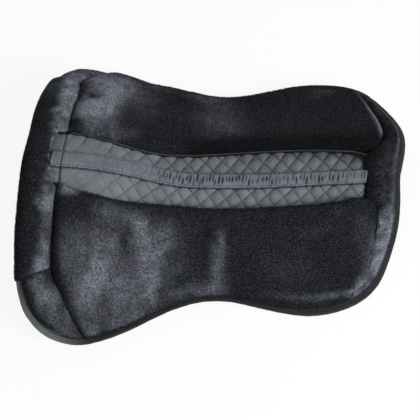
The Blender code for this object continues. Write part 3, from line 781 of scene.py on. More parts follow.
def make_quilt(side, word):
    """Quilted cotton cover of one half, from the spine seam into the slot of the binding.

    u runs back along the spine, and v out from it.
    """
    front_share = OUTER.share_near(-0.262, 0.200)
    rear_share = OUTER.share_near(0.2680, 0.145)

    def inset(share):
        return mixed(COVER_INSET, ROLL_INSET, eased((SLEEVE_FOOT + 0.030 - share) / 0.020))

    front_edge = along_outline(FRONT_SPINE, front_share, inset)
    rear_edge = along_outline(REAR_SPINE, rear_share, inset)
    place = coons(
        front_edge, rear_edge,
        straight(front_edge(0.0), rear_edge(0.0)),
        along_outline(front_share, rear_share, inset),
    )

    def skin(u, v):
        x, y = place(u, v)
        return x, y, quilt_height(x, y, v, side)

    def lining(u, v):
        x, y = place(u, v)
        height = mixed(COVER_GROOVE, COVER_PUFF, diamonds(x, y, side)) + 1.2 * MM * bell(y, 0.003)
        return x, y, mixed(height, 2.3 * MM, eased((v - 0.93) / 0.04))

    def groove_and_shade(x, y, u, v, tip):
        """How dark the cloth is: the sewn grooves, and painted shade in the slits by the tape and the
        plush, in the wrinkles and the rear pit, and soft painted shade by the roll and the wall.
        """
        edge = channel_edge(x)
        # Painted shade under the plush at the channel's edge, and in the pit at the quilting's rear
        # end.
        shade_by_plush = eased((y - edge + 0.0045) / 0.0030) * (1 - eased((y - edge - 0.020) / 0.01))
        pit_shade = eased((past_quilt_end(x, y, side) + 0.0008) / 0.0016) * (x > 0.200) * (y < 0.075)
        # Painted shade in the crease beside the tape, and in the far wrinkles.
        by_tape = bell(y - (tape_far(x) if side > 0 else -tape_near(x)), 0.0016)
        total = cross_seam(x, y, side, 0.0011) + 0.8 * far_wrinkles(x, y, side, 0.0010)
        total = total + (0.85 if side > 0 else 0.40) * shade_by_plush + 1.3 * pit_shade + 0.75 * by_tape
        # Painted shade by the roll.
        shade_by_roll = 0.30 + 0.22 * soft_noise(x, y, 0.004, 41)
        total = total + shade_by_roll * eased((-0.2255 - x) / 0.004)
        if side > 0:
            # Painted shade on the far half: from the far plush wall, at its rear end, and a little
            # overall.
            total = total + 0.42 * eased((y - edge + 0.026) / 0.024) * eased((x + 0.02) / 0.20)
            total = total + 0.36 * eased((x - 0.180) / 0.04) * eased((y - 0.014) / 0.015)
            total = total + 0.10 * eased((x + 0.12) / 0.06)
        return np.clip(total, 0, 1)

    def firm(x, y, u, v, tip):
        """How clear the sewn lines are."""
        return 0.42 * quilt_firmness(x, y) * eased((x + 0.222) / 0.004)

    vs = np.concatenate([even(54, 0, 0.26)[:-1], even(56, 0.26, 1)])  # finer in the channel
    piece = shell(
        f"{word}_quilted_cotton", even(410), vs, skin, lining, side, QUILTED,
        {"groove_and_shade": groove_and_shade, "firm": firm}, seams=lambda x, y: sewn_phases(x, y, side),
    )
    bends(piece)
    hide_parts(f"{word}_channel_quilt", f"{word}_quilted_cover")


# Ruched tape


def tape_near(x):
    """The tape's near edge, as y along the spine."""
    return -0.0105 + 0.0015 * (1 - eased((x + 0.12) / 0.08)) + 0.0016 * eased((x - 0.05) / 0.12)


def tape_far(x):
    """The tape's far edge."""
    return 0.0116 + 0.0016 * (1 - eased((x + 0.12) / 0.08))


def make_ruched_tape():
    """Cotton tape gathered over the elastic down the spine seam."""
    rng = np.random.default_rng(31)
    slits = []  # place along the spine, middle and half length across, slant, depth
    at = TAPE_FRONT
    while at < TAPE_REAR:
        at += rng.uniform(3.6 * MM, 6.4 * MM) * (1 + 0.25 * (at > 0.05))
        slits.append((
            at, rng.uniform(-0.35, 0.35) * TAPE_HALF, rng.uniform(0.35, 0.75) * TAPE_HALF,
            rng.uniform(-0.07, 0.07), rng.uniform(0.35, 1.0),
        ))

    def fullness(x):
        """How much the tape is gathered: less towards the front roll."""
        return mixed(0.20, 1, eased((x + 0.135) / 0.090))

    def slit_depth(x, y):
        """1 in the middle of the deepest slits between the gathers, 0 away from them."""
        total = 0.0 * x
        for middle, across, reach, slant, depth in slits:
            within = np.clip(1 - ((y - across) / reach) ** 2, 0, 1) ** 0.6
            slit = depth * bell(x - middle - slant * (y - across), 1.25 * MM) * within
            total = np.maximum(total, slit)
        return total

    def rungs(x, y):
        """Fine crinkles across the tape, about 3 mm apart."""
        wander = 1.1 * MM * soft_noise(x, y, 0.006, 37) - 0.06 * y
        return np.sin(2 * np.pi * (x + wander) / 0.0031) * (0.6 + 0.4 * soft_noise(x, y, 0.004, 39))

    def place(u, v):
        long = TAPE_REAR - TAPE_FRONT
        x = TAPE_FRONT + u * long
        end = 0.72 + 0.28 * rounded((1 - u) * long, 0.005)
        ruffle = 0.55 * MM * soft_noise(x, 0 * x, 0.0035, 35) * fullness(x) * np.abs(2 * v - 1) ** 3
        y = mixed(tape_near(x), tape_far(x), v) * end + ruffle * np.where(v > 0.5, 1.0, 0.4)
        return x, y

    def skin(u, v):
        x, y = place(u, v)
        across = np.abs(2 * v - 1)
        arch = 4.2 * MM * np.clip(1 - across**2.8, 0, 1) ** 0.4
        pleat = 0.5 + 0.5 * soft_noise(x - 0.06 * y, 0.20 * y, 0.0042, 36)
        rise = (1.5 * MM * fullness(x) * pleat + 0.35 * MM * rungs(x, y)) * (1 - across**5)
        sewn = 0.8 * MM * bell(across - 0.88, 0.07) + 1.5 * MM * bell(x - FRONT_CROSS_SEAM, 0.0018)
        return x, y, 8.1 * MM + arch + rise - 2.6 * MM * slit_depth(x, y) * fullness(x) - sewn

    def lining(u, v):
        x, y = place(u, v)
        over_elastic = 2.8 * MM * eased((0.0088 - np.abs(y)) / 0.0012)
        return x, y, 6.9 * MM + over_elastic

    def groove_and_shade(x, y, u, v, tip):
        """How dark the tape is: its seams, and painted shade in its slits and crinkles and in the
        pinches by its far seam.
        """
        crease_shade = np.maximum(-rungs(x, y), 0) * (0.75 - 0.35 * fullness(x))
        sewn = 0.45 * bell(np.abs(2 * v - 1) - 0.88, 0.045) + 0.9 * bell(x - FRONT_CROSS_SEAM, 0.0010)
        along = (x + 0.8 * MM * soft_noise(x, 0 * x, 0.01, 40)) / (6.6 * MM)
        pinch_shade = np.abs(np.sin(np.pi * along)) ** 8 * eased((v - 0.82) / 0.06) * fullness(x)
        slit_shade = 1.35 * slit_depth(x, y) * fullness(x) ** 1.5
        return np.clip(slit_shade + 0.85 * crease_shade + sewn + 1.1 * pinch_shade, 0, 1)

    piece = shell(
        "spine_ruched_tape", even(560), even(26), skin, lining, 0, RUCHED,
        {"groove_and_shade": groove_and_shade}, weave=lambda u, v: (u * 0.48, v * 2 * TAPE_HALF),
    )
    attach(piece, "spine")
    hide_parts("spine_tape_casing")

    xs = np.linspace(TAPE_FRONT + 0.004, TAPE_REAR - 0.008, 260)
    near, far = tape_near(xs), tape_far(xs)
    for name, y, sizes, thread, share in (  # sizes: height, pitch, length and thickness, in mm
        ("tape_stitches_near", near + 0.5 * MM, (9.8, 4.2, 2.8, 1.0), PALE_THREAD, 0.62),
        ("tape_stitches_far_front", far - 0.9 * MM, (10.0, 3.4, 1.6, 0.9), PALE_THREAD, 0.50),
        ("tape_stitches_far", far + 0.5 * MM, (8.0, 4.8, 1.8, 1.0), BLACK_THREAD, 0.9),
    ):
        height, pitch, length, thick = (size * MM for size in sizes)
        row = stitch_row(name, xs, y, height, 0, pitch, length, thick, thread, share)
        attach(row, "spine")
    # A black cord along the near edge: the dark thread of the seam, and painted shade in the crease
    # beside it.
    edge = near - 0.8 * MM + 0.45 * MM * soft_noise(xs, 0 * xs, 0.008, 38)
    cord = tube("tape_edge_cord", on_pad(xs, np.abs(edge), 7.9 * MM, -1), 0.65 * MM, BLACK_THREAD)
    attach(cord, "spine")


# Plush


def plush_corner(share):
    """The point of the plush's outer edge at this share of the outline."""
    return tuple(float(k) for k in OUTER.inward(share, plush_inset(share)))


REAR = PlanPath(REAR_STEP + (plush_corner(MAIN_REAR),))
FRONT = PlanPath(FRONT_SEAM + (plush_corner(MAIN_FRONT),))
INNER = PlanPath(CHANNEL_EDGE)
PANEL = coons(FRONT.at, REAR.at, INNER.at, along_outline(MAIN_FRONT, MAIN_REAR, plush_inset))
PANEL_LONG, PANEL_WIDE = 0.46, 0.15  # its usual length and width, for widths in metres

FOLDS = {  # start and end in plan, width and rise of each soft fold
    "near": (
        ((-0.006, 0.055), (-0.005, 0.172), 0.0095, -3.6 * MM),
        ((0.014, 0.055), (0.014, 0.172), 0.0110, 2.4 * MM),
        ((-0.128, 0.075), (-0.128, 0.140), 0.0090, -1.6 * MM),
        ((-0.100, 0.058), (-0.085, 0.190), 0.0140, 1.6 * MM),
        ((-0.050, 0.060), (-0.052, 0.170), 0.0120, -1.2 * MM),
        ((-0.178, 0.120), (-0.168, 0.215), 0.0130, 1.8 * MM),
        ((-0.160, 0.214), (-0.132, 0.214), 0.0060, -1.5 * MM),
        ((-0.076, 0.180), (-0.045, 0.173), 0.0035, -1.4 * MM),
        ((0.060, 0.060), (0.055, 0.170), 0.0160, -1.2 * MM),
    ),
    "far": (
        ((-0.055, 0.065), (-0.055, 0.170), 0.0130, -2.2 * MM),
        ((-0.018, 0.065), (-0.012, 0.150), 0.0180, 1.6 * MM),
        ((-0.125, 0.070), (-0.122, 0.190), 0.0150, -1.4 * MM),
        ((-0.185, 0.075), (-0.172, 0.190), 0.0190, 1.8 * MM),
        ((-0.212, 0.134), (-0.192, 0.138), 0.0060, -1.8 * MM),
        ((0.060, 0.065), (0.055, 0.150), 0.0160, -1.0 * MM),
    ),
}
# Patches of painted sheen as laid: x and y, half length and width, turn in degrees, and how much
# lighter. One below 0 is a patch of painted shade that darkens what the patches before it gave.
SHEEN_AND_SHADE_PATCHES = {
    "near": (
        (-0.182, 0.168, 0.019, 0.060, 26, 0.29), (-0.120, 0.165, 0.038, 0.045, 0, 0.20),
        (-0.188, 0.216, 0.030, 0.022, 0, 0.22), (-0.052, 0.130, 0.040, 0.060, 0, 0.07),
        (-0.168, 0.130, 0.045, 0.050, 0, 0.12), (-0.104, 0.086, 0.015, 0.036, -14, 0.27),
        (-0.118, 0.066, 0.024, 0.012, 0, 0.10), (-0.087, 0.142, 0.015, 0.036, -14, 0.22),
        (-0.180, 0.098, 0.032, 0.026, 0, 0.06), (-0.135, 0.112, 0.030, 0.050, 0, 0.08),
        (-0.172, 0.228, 0.020, 0.014, -20, 0.24), (-0.112, 0.205, 0.034, 0.018, -20, 0.10),
        (-0.150, 0.060, 0.024, 0.012, 0, 0.15), (-0.072, 0.092, 0.016, 0.030, 0, 0.22),
        (-0.214, 0.060, 0.014, 0.024, 0, -0.97), (-0.200, 0.056, 0.017, 0.013, 30, -0.93),
        (-0.204, 0.031, 0.026, 0.0085, -8, 0.55), (-0.206, 0.122, 0.020, 0.036, 10, 0.10),
        (-0.126, 0.094, 0.008, 0.028, 10, -0.60), (-0.127, 0.132, 0.010, 0.012, 0, -0.30),
        (-0.013, 0.104, 0.015, 0.052, 0, -0.85), (-0.030, 0.090, 0.018, 0.040, 0, -0.25),
        (0.013, 0.118, 0.011, 0.040, 2, 0.22), (0.008, 0.160, 0.024, 0.017, 0, 0.15),
        (-0.032, 0.165, 0.034, 0.010, -8, 0.12), (-0.036, 0.148, 0.014, 0.030, 0, -0.40),
        (-0.148, 0.218, 0.016, 0.006, 0, -0.80), (0.062, 0.085, 0.014, 0.030, 0, -0.60),
        (0.160, 0.078, 0.028, 0.010, 0, 0.03), (0.120, 0.130, 0.050, 0.025, 20, 0.03),
        (0.200, 0.050, 0.012, 0.007, 0, 0.05), (0.235, 0.085, 0.014, 0.035, 0, 0.06),
    ),
    "far": (
        (-0.194, 0.101, 0.027, 0.030, -25, 0.92), (-0.174, 0.160, 0.029, 0.047, -8, 0.70),
        (-0.201, 0.137, 0.011, 0.008, -12, -0.88), (-0.214, 0.174, 0.007, 0.007, 0, -0.75),
        (-0.208, 0.196, 0.026, 0.014, 10, 0.22), (-0.198, 0.186, 0.020, 0.022, 0, 0.34),
        (-0.122, 0.150, 0.030, 0.050, 0, 0.10), (-0.178, 0.074, 0.030, 0.012, 0, 0.16),
        (-0.100, 0.186, 0.034, 0.014, -22, 0.12), (-0.215, 0.060, 0.008, 0.020, 0, -0.97),
        (-0.160, 0.058, 0.036, 0.012, 0, 0.17), (-0.056, 0.110, 0.015, 0.055, 0, -0.60),
        (-0.006, 0.112, 0.038, 0.040, 0, 0.12), (0.022, 0.090, 0.026, 0.018, 0, 0.06),
        (-0.025, 0.160, 0.034, 0.014, -18, 0.14), (0.160, 0.168, 0.020, 0.010, 0, 0.08),
        (0.090, 0.100, 0.070, 0.035, 0, 0.02), (0.222, 0.110, 0.022, 0.040, 0, -0.50),
    ),
}
NAP_BASE = {"near": 0.012, "far": 0.010}


def fold_rise(word, x, y):
    """How far the soft folds lift or sink the plush."""
    total = 0.0 * x
    for start, end, width, rise in FOLDS[word]:
        away, along = line_distance(x, y, start, end)
        total = total + rise * bell(away, width) * eased(along / 0.2) * eased((1 - along) / 0.25)
    return total


def painted_sheen_and_shade(word, x, y):
    """Painted sheen and painted shade of the plush, with its uneven tone: 0 is near black and 1 the
    lightest.
    """
    x, y = as_laid(x, y, SIDES[word])
    wander_x = x + 5 * MM * soft_noise(x, y, 0.018, 12) + 2 * MM * soft_noise(x, y, 0.006, 21)
    wander_y = y + 5 * MM * soft_noise(x, y, 0.018, 13) + 2 * MM * soft_noise(x, y, 0.006, 22)
    total = NAP_BASE[word] + 0.0 * x
    for px, py, long, wide, turn, lighter in SHEEN_AND_SHADE_PATCHES[word]:
        c, s = math.cos(math.radians(turn)), math.sin(math.radians(turn))
        dx, dy = wander_x - px, wander_y - py
        reach = ((c * dx + s * dy) / long) ** 2 + ((c * dy - s * dx) / wide) ** 2
        share = np.exp(-reach ** 1.2)
        total = total + lighter * share if lighter > 0 else total * (1 + lighter * share)
    uneven = 1 + 0.22 * soft_noise(x, y, 0.011, 15) + 0.16 * soft_noise(x, 0.3 * y, 0.008, 14)
    return np.maximum(total, 0.015) * uneven


def tufted(tone_sheen_and_shade, tip, seed):
    """Painted light on the tips and painted shade at the roots, each tuft a little different."""
    own = np.random.default_rng(seed).normal(0, 0.24, tone_sheen_and_shade.shape)
    value = tone_sheen_and_shade * np.where(tip, 1.22, 0.82) * (1 + own * tip)
    return np.clip(value + np.where(tip, 0.012, -0.004), -0.06, 1)


def into_band(v):
    """1 along the part of the near panel's rear edge that runs out into the rear band."""
    return eased((v - 0.22) / 0.20) * (1 - eased((v - 0.80) / 0.15))


def panel_height(word, u, v, x, y):
    """Top of a panel: rounded edges, a full crown and its soft folds."""
    across = rounded(v * PANEL_WIDE, 0.0120) * rounded((1 - v) * PANEL_WIDE, 0.030)
    into_corner = 0.70 * eased((v - 0.66) / 0.12)
    front = mixed(rounded(u * PANEL_LONG, 0.0125), 1, into_corner)
    full = across * front * rounded((1 - u) * PANEL_LONG, 0.015)
    low = PLUSH_EDGE
    if word == "near":
        low = low + 8.5 * MM * into_band(v) * bell(1 - u, 0.040)
    bumps = 0.9 * MM * soft_noise(x, y, 0.034, 17) + 0.45 * MM * soft_noise(x, y, 0.010, 18)
    return mixed(low, PLUSH_CROWN, full) + (fold_rise(word, x, y) + bumps) * full


def foam_rise(u, v):
    """How far the foam core lifts the lining."""
    along = rounded(u - 0.022, 0.06) * rounded(0.978 - u, 0.06)
    across = rounded(v - 0.08, 0.14) * rounded(0.86 - v, 0.20)
    return 8.0 * MM * along * across


def near_panel_painted_light(tone_sheen_and_shade, x, y, u, v):
    """Painted shade down the channel's wall, by the roll and along the outer edge; painted sheen on the
    outer and the rear rim.
    """
    tone_sheen_and_shade = tone_sheen_and_shade * (1 - 0.90 * bell(v * PANEL_WIDE, 0.016) * eased((x + 0.165) / 0.03))
    low = bell(v - 0.70, 0.13)
    tone_sheen_and_shade = tone_sheen_and_shade * (1 - 0.85 * bell(np.maximum(u - 0.010 * low, 0), 0.018 + 0.012 * low))
    outer_rim_sheen = 0.45 * bell(v - 0.900, 0.035) * eased((u - 0.62) / 0.25)
    rear_rim_sheen = 0.9 * bell(1 - u - 0.004, 0.014) * eased((v - 0.12) / 0.25)
    rear_rim_sheen = rear_rim_sheen * (0.45 + 0.55 * eased((v - 0.50) / 0.25))
    rim_sheen_total = 0.34 * (outer_rim_sheen + rear_rim_sheen) * (1 + 0.6 * soft_noise(x, y, 0.006, 26))
    return (tone_sheen_and_shade + rim_sheen_total) * (1 - 0.9 * eased((v - 0.945) / 0.03))


def far_panel_painted_light(tone_sheen_and_shade, x, y, u, v):
    """Painted shade down the channel's wall and by the roll; painted sheen on the rear rim."""
    wall = bell(v * PANEL_WIDE, 0.015)
    tone_sheen_and_shade = tone_sheen_and_shade * (1 - 0.9 * wall * eased((x + 0.15) / 0.04))
    tone_sheen_and_shade = tone_sheen_and_shade * (1 - 0.7 * bell(u, 0.009) * (1 - 0.8 * eased((v - 0.62) / 0.1)))
    rear_rim_sheen = 0.66 * bell(1 - u - 0.017, 0.0105) * eased(v / 0.15)
    rear_rim_sheen = rear_rim_sheen * (0.35 + 0.65 * eased((0.75 - v) / 0.3))
    return tone_sheen_and_shade - 0.05 * wall * eased((x + 0.07) / 0.05) + rear_rim_sheen


def make_plush_panel(side, word):
    """Deep plush over the foam of one side. On the near side its wall leans in over the channel.

    u runs back along the panel, and v out from the channel.
    """

    def wall_shift(v):
        """The far wall stands a little further out."""
        return (word == "far") * 1.2 * MM * (1 - eased(v * PANEL_WIDE / 0.020))

    def skin(u, v):
        x, y = PANEL(u, v)
        height = panel_height(word, u, v, x, y)
        if word == "far":
            return x, y + wall_shift(v), height
        over = (height - PLUSH_EDGE) / (PLUSH_CROWN - PLUSH_EDGE)
        lean = (8.5 + 2.0 * eased((x + 0.15) / 0.08) + 3.0 * eased((x - 0.190) / 0.030)) * MM
        lean = lean + 1.1 * MM * soft_noise(x, 0 * y, 0.0035, 11) * eased((-0.12 - x) / 0.04)
        y = y - lean * over * (1 - eased(v * PANEL_WIDE / 0.060))
        past = bell(1 - u, 0.016) * into_band(v)
        return x + 5.0 * MM * past, y + 3.0 * MM * past, height

    def lining(u, v):
        x, y = PANEL(u, v)
        over_tape = TAPE_STEP * eased((v - 0.80) / 0.10)
        room = eased(np.minimum(np.minimum(v, 1 - v) / 0.06, np.minimum(u, 1 - u) / 0.02))
        return x, y + wall_shift(v), PAD_LOW + over_tape + foam_rise(u, v) + 1.6 * MM * room

    def tone_sheen_and_shade(x, y, u, v, tip):
        own_painted_light = near_panel_painted_light if word == "near" else far_panel_painted_light
        return tufted(own_painted_light(painted_sheen_and_shade(word, x, y), x, y, u, v), tip, 40 + side)

    def pile(u, v):
        fringe = bell(v * PANEL_WIDE, 0.006) * (word == "near") * (1 + 1.5 * (u < 0.15))
        return (1.7 + 0.9 * fringe) * MM

    piece = shell(
        f"{word}_plush", drawn_in(250), drawn_in(86), skin, lining, side, PLUSH, {"tone_sheen_and_shade": tone_sheen_and_shade}, pile
    )
    bends(piece)
    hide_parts(f"{word}_plush_panel")


def make_corner_plush(side, word):
    """Plush of the lower front corner, between the end of the roll and the binding.

    u runs in from the edge to the seam beside the panel, and v out from the roll's end.
    """
    first = OUTER.share_near(-0.2735, 0.1660)
    middle = OUTER.share_near(-0.2400, 0.2240)
    seam_start = FRONT.share_near(-0.2254, 0.1510)

    def corner_inset(share):
        return plush_inset(share) + 1.2 * MM

    edge = along_outline(first, middle, corner_inset)

    def valley(t):
        t = np.asarray(t)
        over = 1.9 * MM * eased((t - 0.15) / 0.2) - 0.7 * MM  # past the seam, so no gap shows
        return FRONT.inward(mixed(seam_start, 1, t), over)

    place = coons(
        edge, valley,
        straight(edge(0.0), valley(0.0)),
        along_outline(middle, MAIN_FRONT - 0.004, corner_inset),
    )

    def skin(u, v):
        x, y = place(u, v)
        into_panel = 0.80 * eased((v - 0.12) / 0.25)
        rise = rounded(u, 0.45) * mixed(rounded(1 - u, 0.32), 1, into_panel)
        rise = rise * rounded(v, 0.16) * rounded(1 - v, 0.55)
        return x, y, PLUSH_EDGE + 12.0 * MM * rise + 0.5 * MM * soft_noise(x, y, 0.012, 19) * rise

    def lining(u, v):
        x, y = place(u, v)
        rim = np.maximum(eased((0.30 - u) / 0.1), eased((v - 0.72) / 0.1))
        return x, y, PAD_LOW + TAPE_STEP * rim

    def tone_sheen_and_shade(x, y, u, v, tip):
        # Painted sheen over the corner's rounded top, falling to painted shade at the seam beside the
        # panel.
        if word == "near":
            light = 0.23
            outer_reach = eased((u - 0.47) / 0.1) * eased((v - 0.15) / 0.2)
            across = 1.1 * bell(u - 0.47, 0.25 + 0.40 * outer_reach)
            across = across * (1 - 0.6 * eased((v - 0.6) / 0.3) * eased((u - 0.65) / 0.25))
        else:
            light = 0.46
            across = rounded(1 - u, 0.26 - 0.20 * eased((v - 0.1) / 0.3))
            across = across * (0.3 + 0.7 * eased(u / 0.35))
        value = 0.02 + light * (1 + 0.7 * soft_noise(x, y, 0.010, 20)) * across
        return tufted(value, tip, 50 + side)

    piece = shell(
        f"{word}_corner_plush", even(44), even(48), skin, lining, side, PLUSH, {"tone_sheen_and_shade": tone_sheen_and_shade}, 1.6 * MM
    )
    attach(piece, f"{word}_panel")
    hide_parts(f"{word}_front_corner_plush")


def make_rear_band(side, word):
    """Thinner plush behind the padding, from the spine round to the binding.

    u runs out from the spine, and v back from the padding to the binding.
    """
    end = OUTER.share_near(0.224, 0.1875)
    front = tuple((x + QUILT_END[side], y) for x, y in BAND_FRONT)
    inner_line = PlanPath(front + REAR_STEP + (tuple(float(k) for k in REAR.at(1.0)),))
    outer_edge = along_outline(REAR_SPINE, end, plush_inset)

    def step_edge(t):
        return inner_line.inward(0.99 * np.asarray(t), 0.0006)

    place = coons(
        straight(step_edge(0.0), outer_edge(0.0)), straight(step_edge(1.0), outer_edge(1.0)),
        step_edge, outer_edge,
    )

    def skin(u, v):
        x, y = place(u, v)
        bridge = eased((0.33 - u) / 0.12)
        rise = rounded(v, 0.26) * rounded(1 - v, 0.42)
        height = (9.0 - 1.6 * bridge) * MM + (5.6 - 1.0 * bridge) * MM * rise
        if word == "near":  # it falls from the padding's edge without a step
            slope = 9.0 * MM + 6.5 * MM * (1 - v) ** 0.8
            height = mixed(height, slope, eased((u - 0.38) / 0.12))
        return x, y, height + 0.4 * MM * soft_noise(x, y, 0.012, 23)

    def lining(u, v):
        x, y = place(u, v)
        rim = np.maximum(eased((v - 0.35) / 0.25), eased((u - 0.7) / 0.15))
        return x, y, PAD_LOW + TAPE_STEP * rim - 0.2 * MM

    def tone_sheen_and_shade(x, y, u, v, tip):
        # Painted shade where the band meets the padding's step, a crescent of painted light on the near
        # side, and painted sheen along the binding and by the spine.
        lx, ly = as_laid(x, y, side)
        value = 0.015 + 0.055 * bell(v - 0.60, 0.24)
        from_step = (v - 0.10) / 0.30
        if word == "near":
            crescent_light = 0.62 * eased((ly - 0.042 + 0.7 * (lx - 0.262)) / 0.024)
            crescent_light = crescent_light * (1 - 0.45 * eased((u - 0.60) / 0.3))
            crescent_light = crescent_light * (1 - 0.80 * eased((v - 0.84) / 0.14))
            value = value * eased((0.050 - ly) / 0.02) + crescent_light
            from_step = from_step + 0.52 * eased((u - 0.3) / 0.1)
        else:
            value = value + 0.34 * bell(v - 0.90, 0.055) * eased((u - 0.12) / 0.1)
        value = value * (0.10 + 0.90 * eased(from_step))
        value = value + 0.26 * bell(v - 0.88, 0.08) * eased((0.042 - ly) / 0.012)
        value = value * (1 + 0.55 * soft_noise(x, y, 0.010, 24))
        return tufted(value, tip, 60 + side)

    piece = shell(
        f"{word}_rear_band_plush", even(140), even(28), skin, lining, side, PLUSH, {"tone_sheen_and_shade": tone_sheen_and_shade},
        1.5 * MM,
    )
    bends(piece)
    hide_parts(f"{word}_rear_band", "rear_band_bridge")


ROLL_TOP, NOTCH_TOP = 29.5 * MM, 21.0 * MM
ROLL_SKIN = PlanPath(  # round the roll from its lip below, over the front, to its lip on top
    (
        (1.00, -0.10), (0.97, -0.22), (0.80, -0.26), (0.50, -0.26), (0.22, -0.24), (0.05, -0.10),
        (-0.01, 0.18), (0.02, 0.50), (0.10, 0.76), (0.25, 0.94), (0.45, 1.00), (0.66, 0.95),
        (0.84, 0.82), (0.95, 0.64), (1.00, 0.40),
    )
)
ROLL_LINING = PlanPath(
    (
        (1.00, -0.02), (0.80, -0.02), (0.50, -0.02), (0.24, -0.02), (0.16, 0.03), (0.15, 0.20),
        (0.16, 0.38), (0.20, 0.54), (0.30, 0.66), (0.45, 0.71), (0.62, 0.67), (0.78, 0.50),
        (0.90, 0.34), (1.00, 0.26),
    )
)


def make_front_roll(side, word):
    """Plush sleeve of the front roll, folded over the front edge, from the spine to its sewn end.

    u goes round the roll's section, and v out from the spine.
    """

    def section(path, u, v):
        """Plan and height of a line round the roll."""
        share, level = path.at(u)
        end_y = 0.1690 - 0.0150 * eased(share)
        y = v * end_y
        nose = front_x(y)
        full = eased((y - NOTCH + 0.0015) / 0.003)  # 0 in the notch, 1 past it
        lip = mixed(ROLL_LIP, ROLL_SEAM, full) + 0.0032 * side * eased((y - 0.095) / 0.03)
        if word == "near":
            lip = lip + 0.0027 * (1 - eased((y - 0.04) / 0.03)) * full
        else:
            lip = lip - 0.0025 * (1 - full)
        lip = lip + 1.7 * MM * soft_noise(y, 0 * y, 0.0034, 30) * (1 - full)
        top = mixed(NOTCH_TOP, ROLL_TOP, eased((y - 0.036) / 0.022))
        top = top * (0.52 + 0.48 * rounded(end_y - y, 0.009))
        return mixed(nose, lip, share), y, level * np.where(level < 0, ROLL_TOP, top)

    def skin(u, v):
        x, y, height = section(ROLL_SKIN, u, v)
        return x, y, height + (height > 0.004) * 0.7 * MM * soft_noise(x, y, 0.020, 27 + side)

    def lining(u, v):
        return section(ROLL_LINING, u, v)

    def tone_sheen_and_shade(x, y, u, v, tip):
        # Painted light in patches on the roll's back slope, which faces the key lamp, and a painted
        # highlight on the ragged fur of the lip in the notch.
        lx, ly = as_laid(x, y, side)
        edge = soft_noise(x, y, 0.016, 28)
        if word == "near":
            back = eased((lx + 0.2565 + 0.007 * bell(ly - 0.146, 0.022) + 0.006 * edge) / 0.016)
            patches = 0.08 + 0.27 * bell(ly - 0.056, 0.020) + 0.31 * bell(ly - 0.132, 0.026)
            value = 0.012
        else:
            back = eased((lx + 0.254 + 0.005 * edge) / 0.014)
            patches = 0.05 + 0.23 * eased((ly - 0.036) / 0.015) + 0.18 * eased((ly - 0.062) / 0.02)
            value = 0.012 + 0.09 * eased((ly - 0.10) / 0.05)
        back = back * (1 - 0.5 * eased((NOTCH - y) / 0.010))
        ragged = np.maximum(0.8 + 1.2 * soft_noise(x, y, 0.0032, 42), 0) * eased((u - 0.88) / 0.07)
        lip_light = 0.34 * ragged * eased((NOTCH + 0.002 - y) / 0.004)
        value = value + lip_light + back * patches * (1 + 0.5 * soft_noise(x, y, 0.010, 29))
        return tufted(value, tip, 70 + side)

    def pile(u, v):
        y = v * 0.160  # near enough, at the lip on top
        shaggy = bell(y - NOTCH, 0.0025) * (u > 0.86) + eased((u - 0.90) / 0.06) * (y < NOTCH)
        return (1.6 + 2.4 * np.minimum(shaggy, 1)) * MM

    piece = shell(
        f"{word}_front_roll", even(80), even(104), skin, lining, side, PLUSH, {"tone_sheen_and_shade": tone_sheen_and_shade}, pile
    )
    bends(piece)
    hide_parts(f"{word}_front_roll_sleeve", "front_roll_bridge")

    y = even(60, 0.0560, 0.1500)
    middle = 0.5 * (front_x(y) + ROLL_SEAM)
    core = tube(f"{word}_roll_foam", on_pad(middle, y, 11.5 * MM, side), 7.5 * MM, FOAM, 16)
    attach(core, f"{word}_panel")
    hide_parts(f"{word}_front_roll_core")


# Binding and piping

BINDING_SKIN = PlanPath(  # inset and height round the folded tape, in millimetres
    (
        (10.0, 0.0), (5.0, 0.05), (2.0, 0.1), (0.5, 0.9), (0.0, 2.4), (0.0, 4.9), (0.6, 6.5),
        (2.2, 7.3), (5.0, 7.35), (10.0, 7.3),
    )
)
BINDING_LINING = PlanPath(
    (
        (10.0, 0.9), (5.0, 0.9), (2.9, 1.1), (2.2, 1.9), (2.0, 3.0), (2.0, 4.4), (2.2, 5.6),
        (2.9, 6.3), (5.0, 6.4), (10.0, 6.4),
    )
)
BINDING_LINES = (  # darker lines along the tape: place round the fold, depth and width
    (0.800, 0.60, 0.014), (0.725, 0.45, 0.012), (0.655, 0.45, 0.012),
)


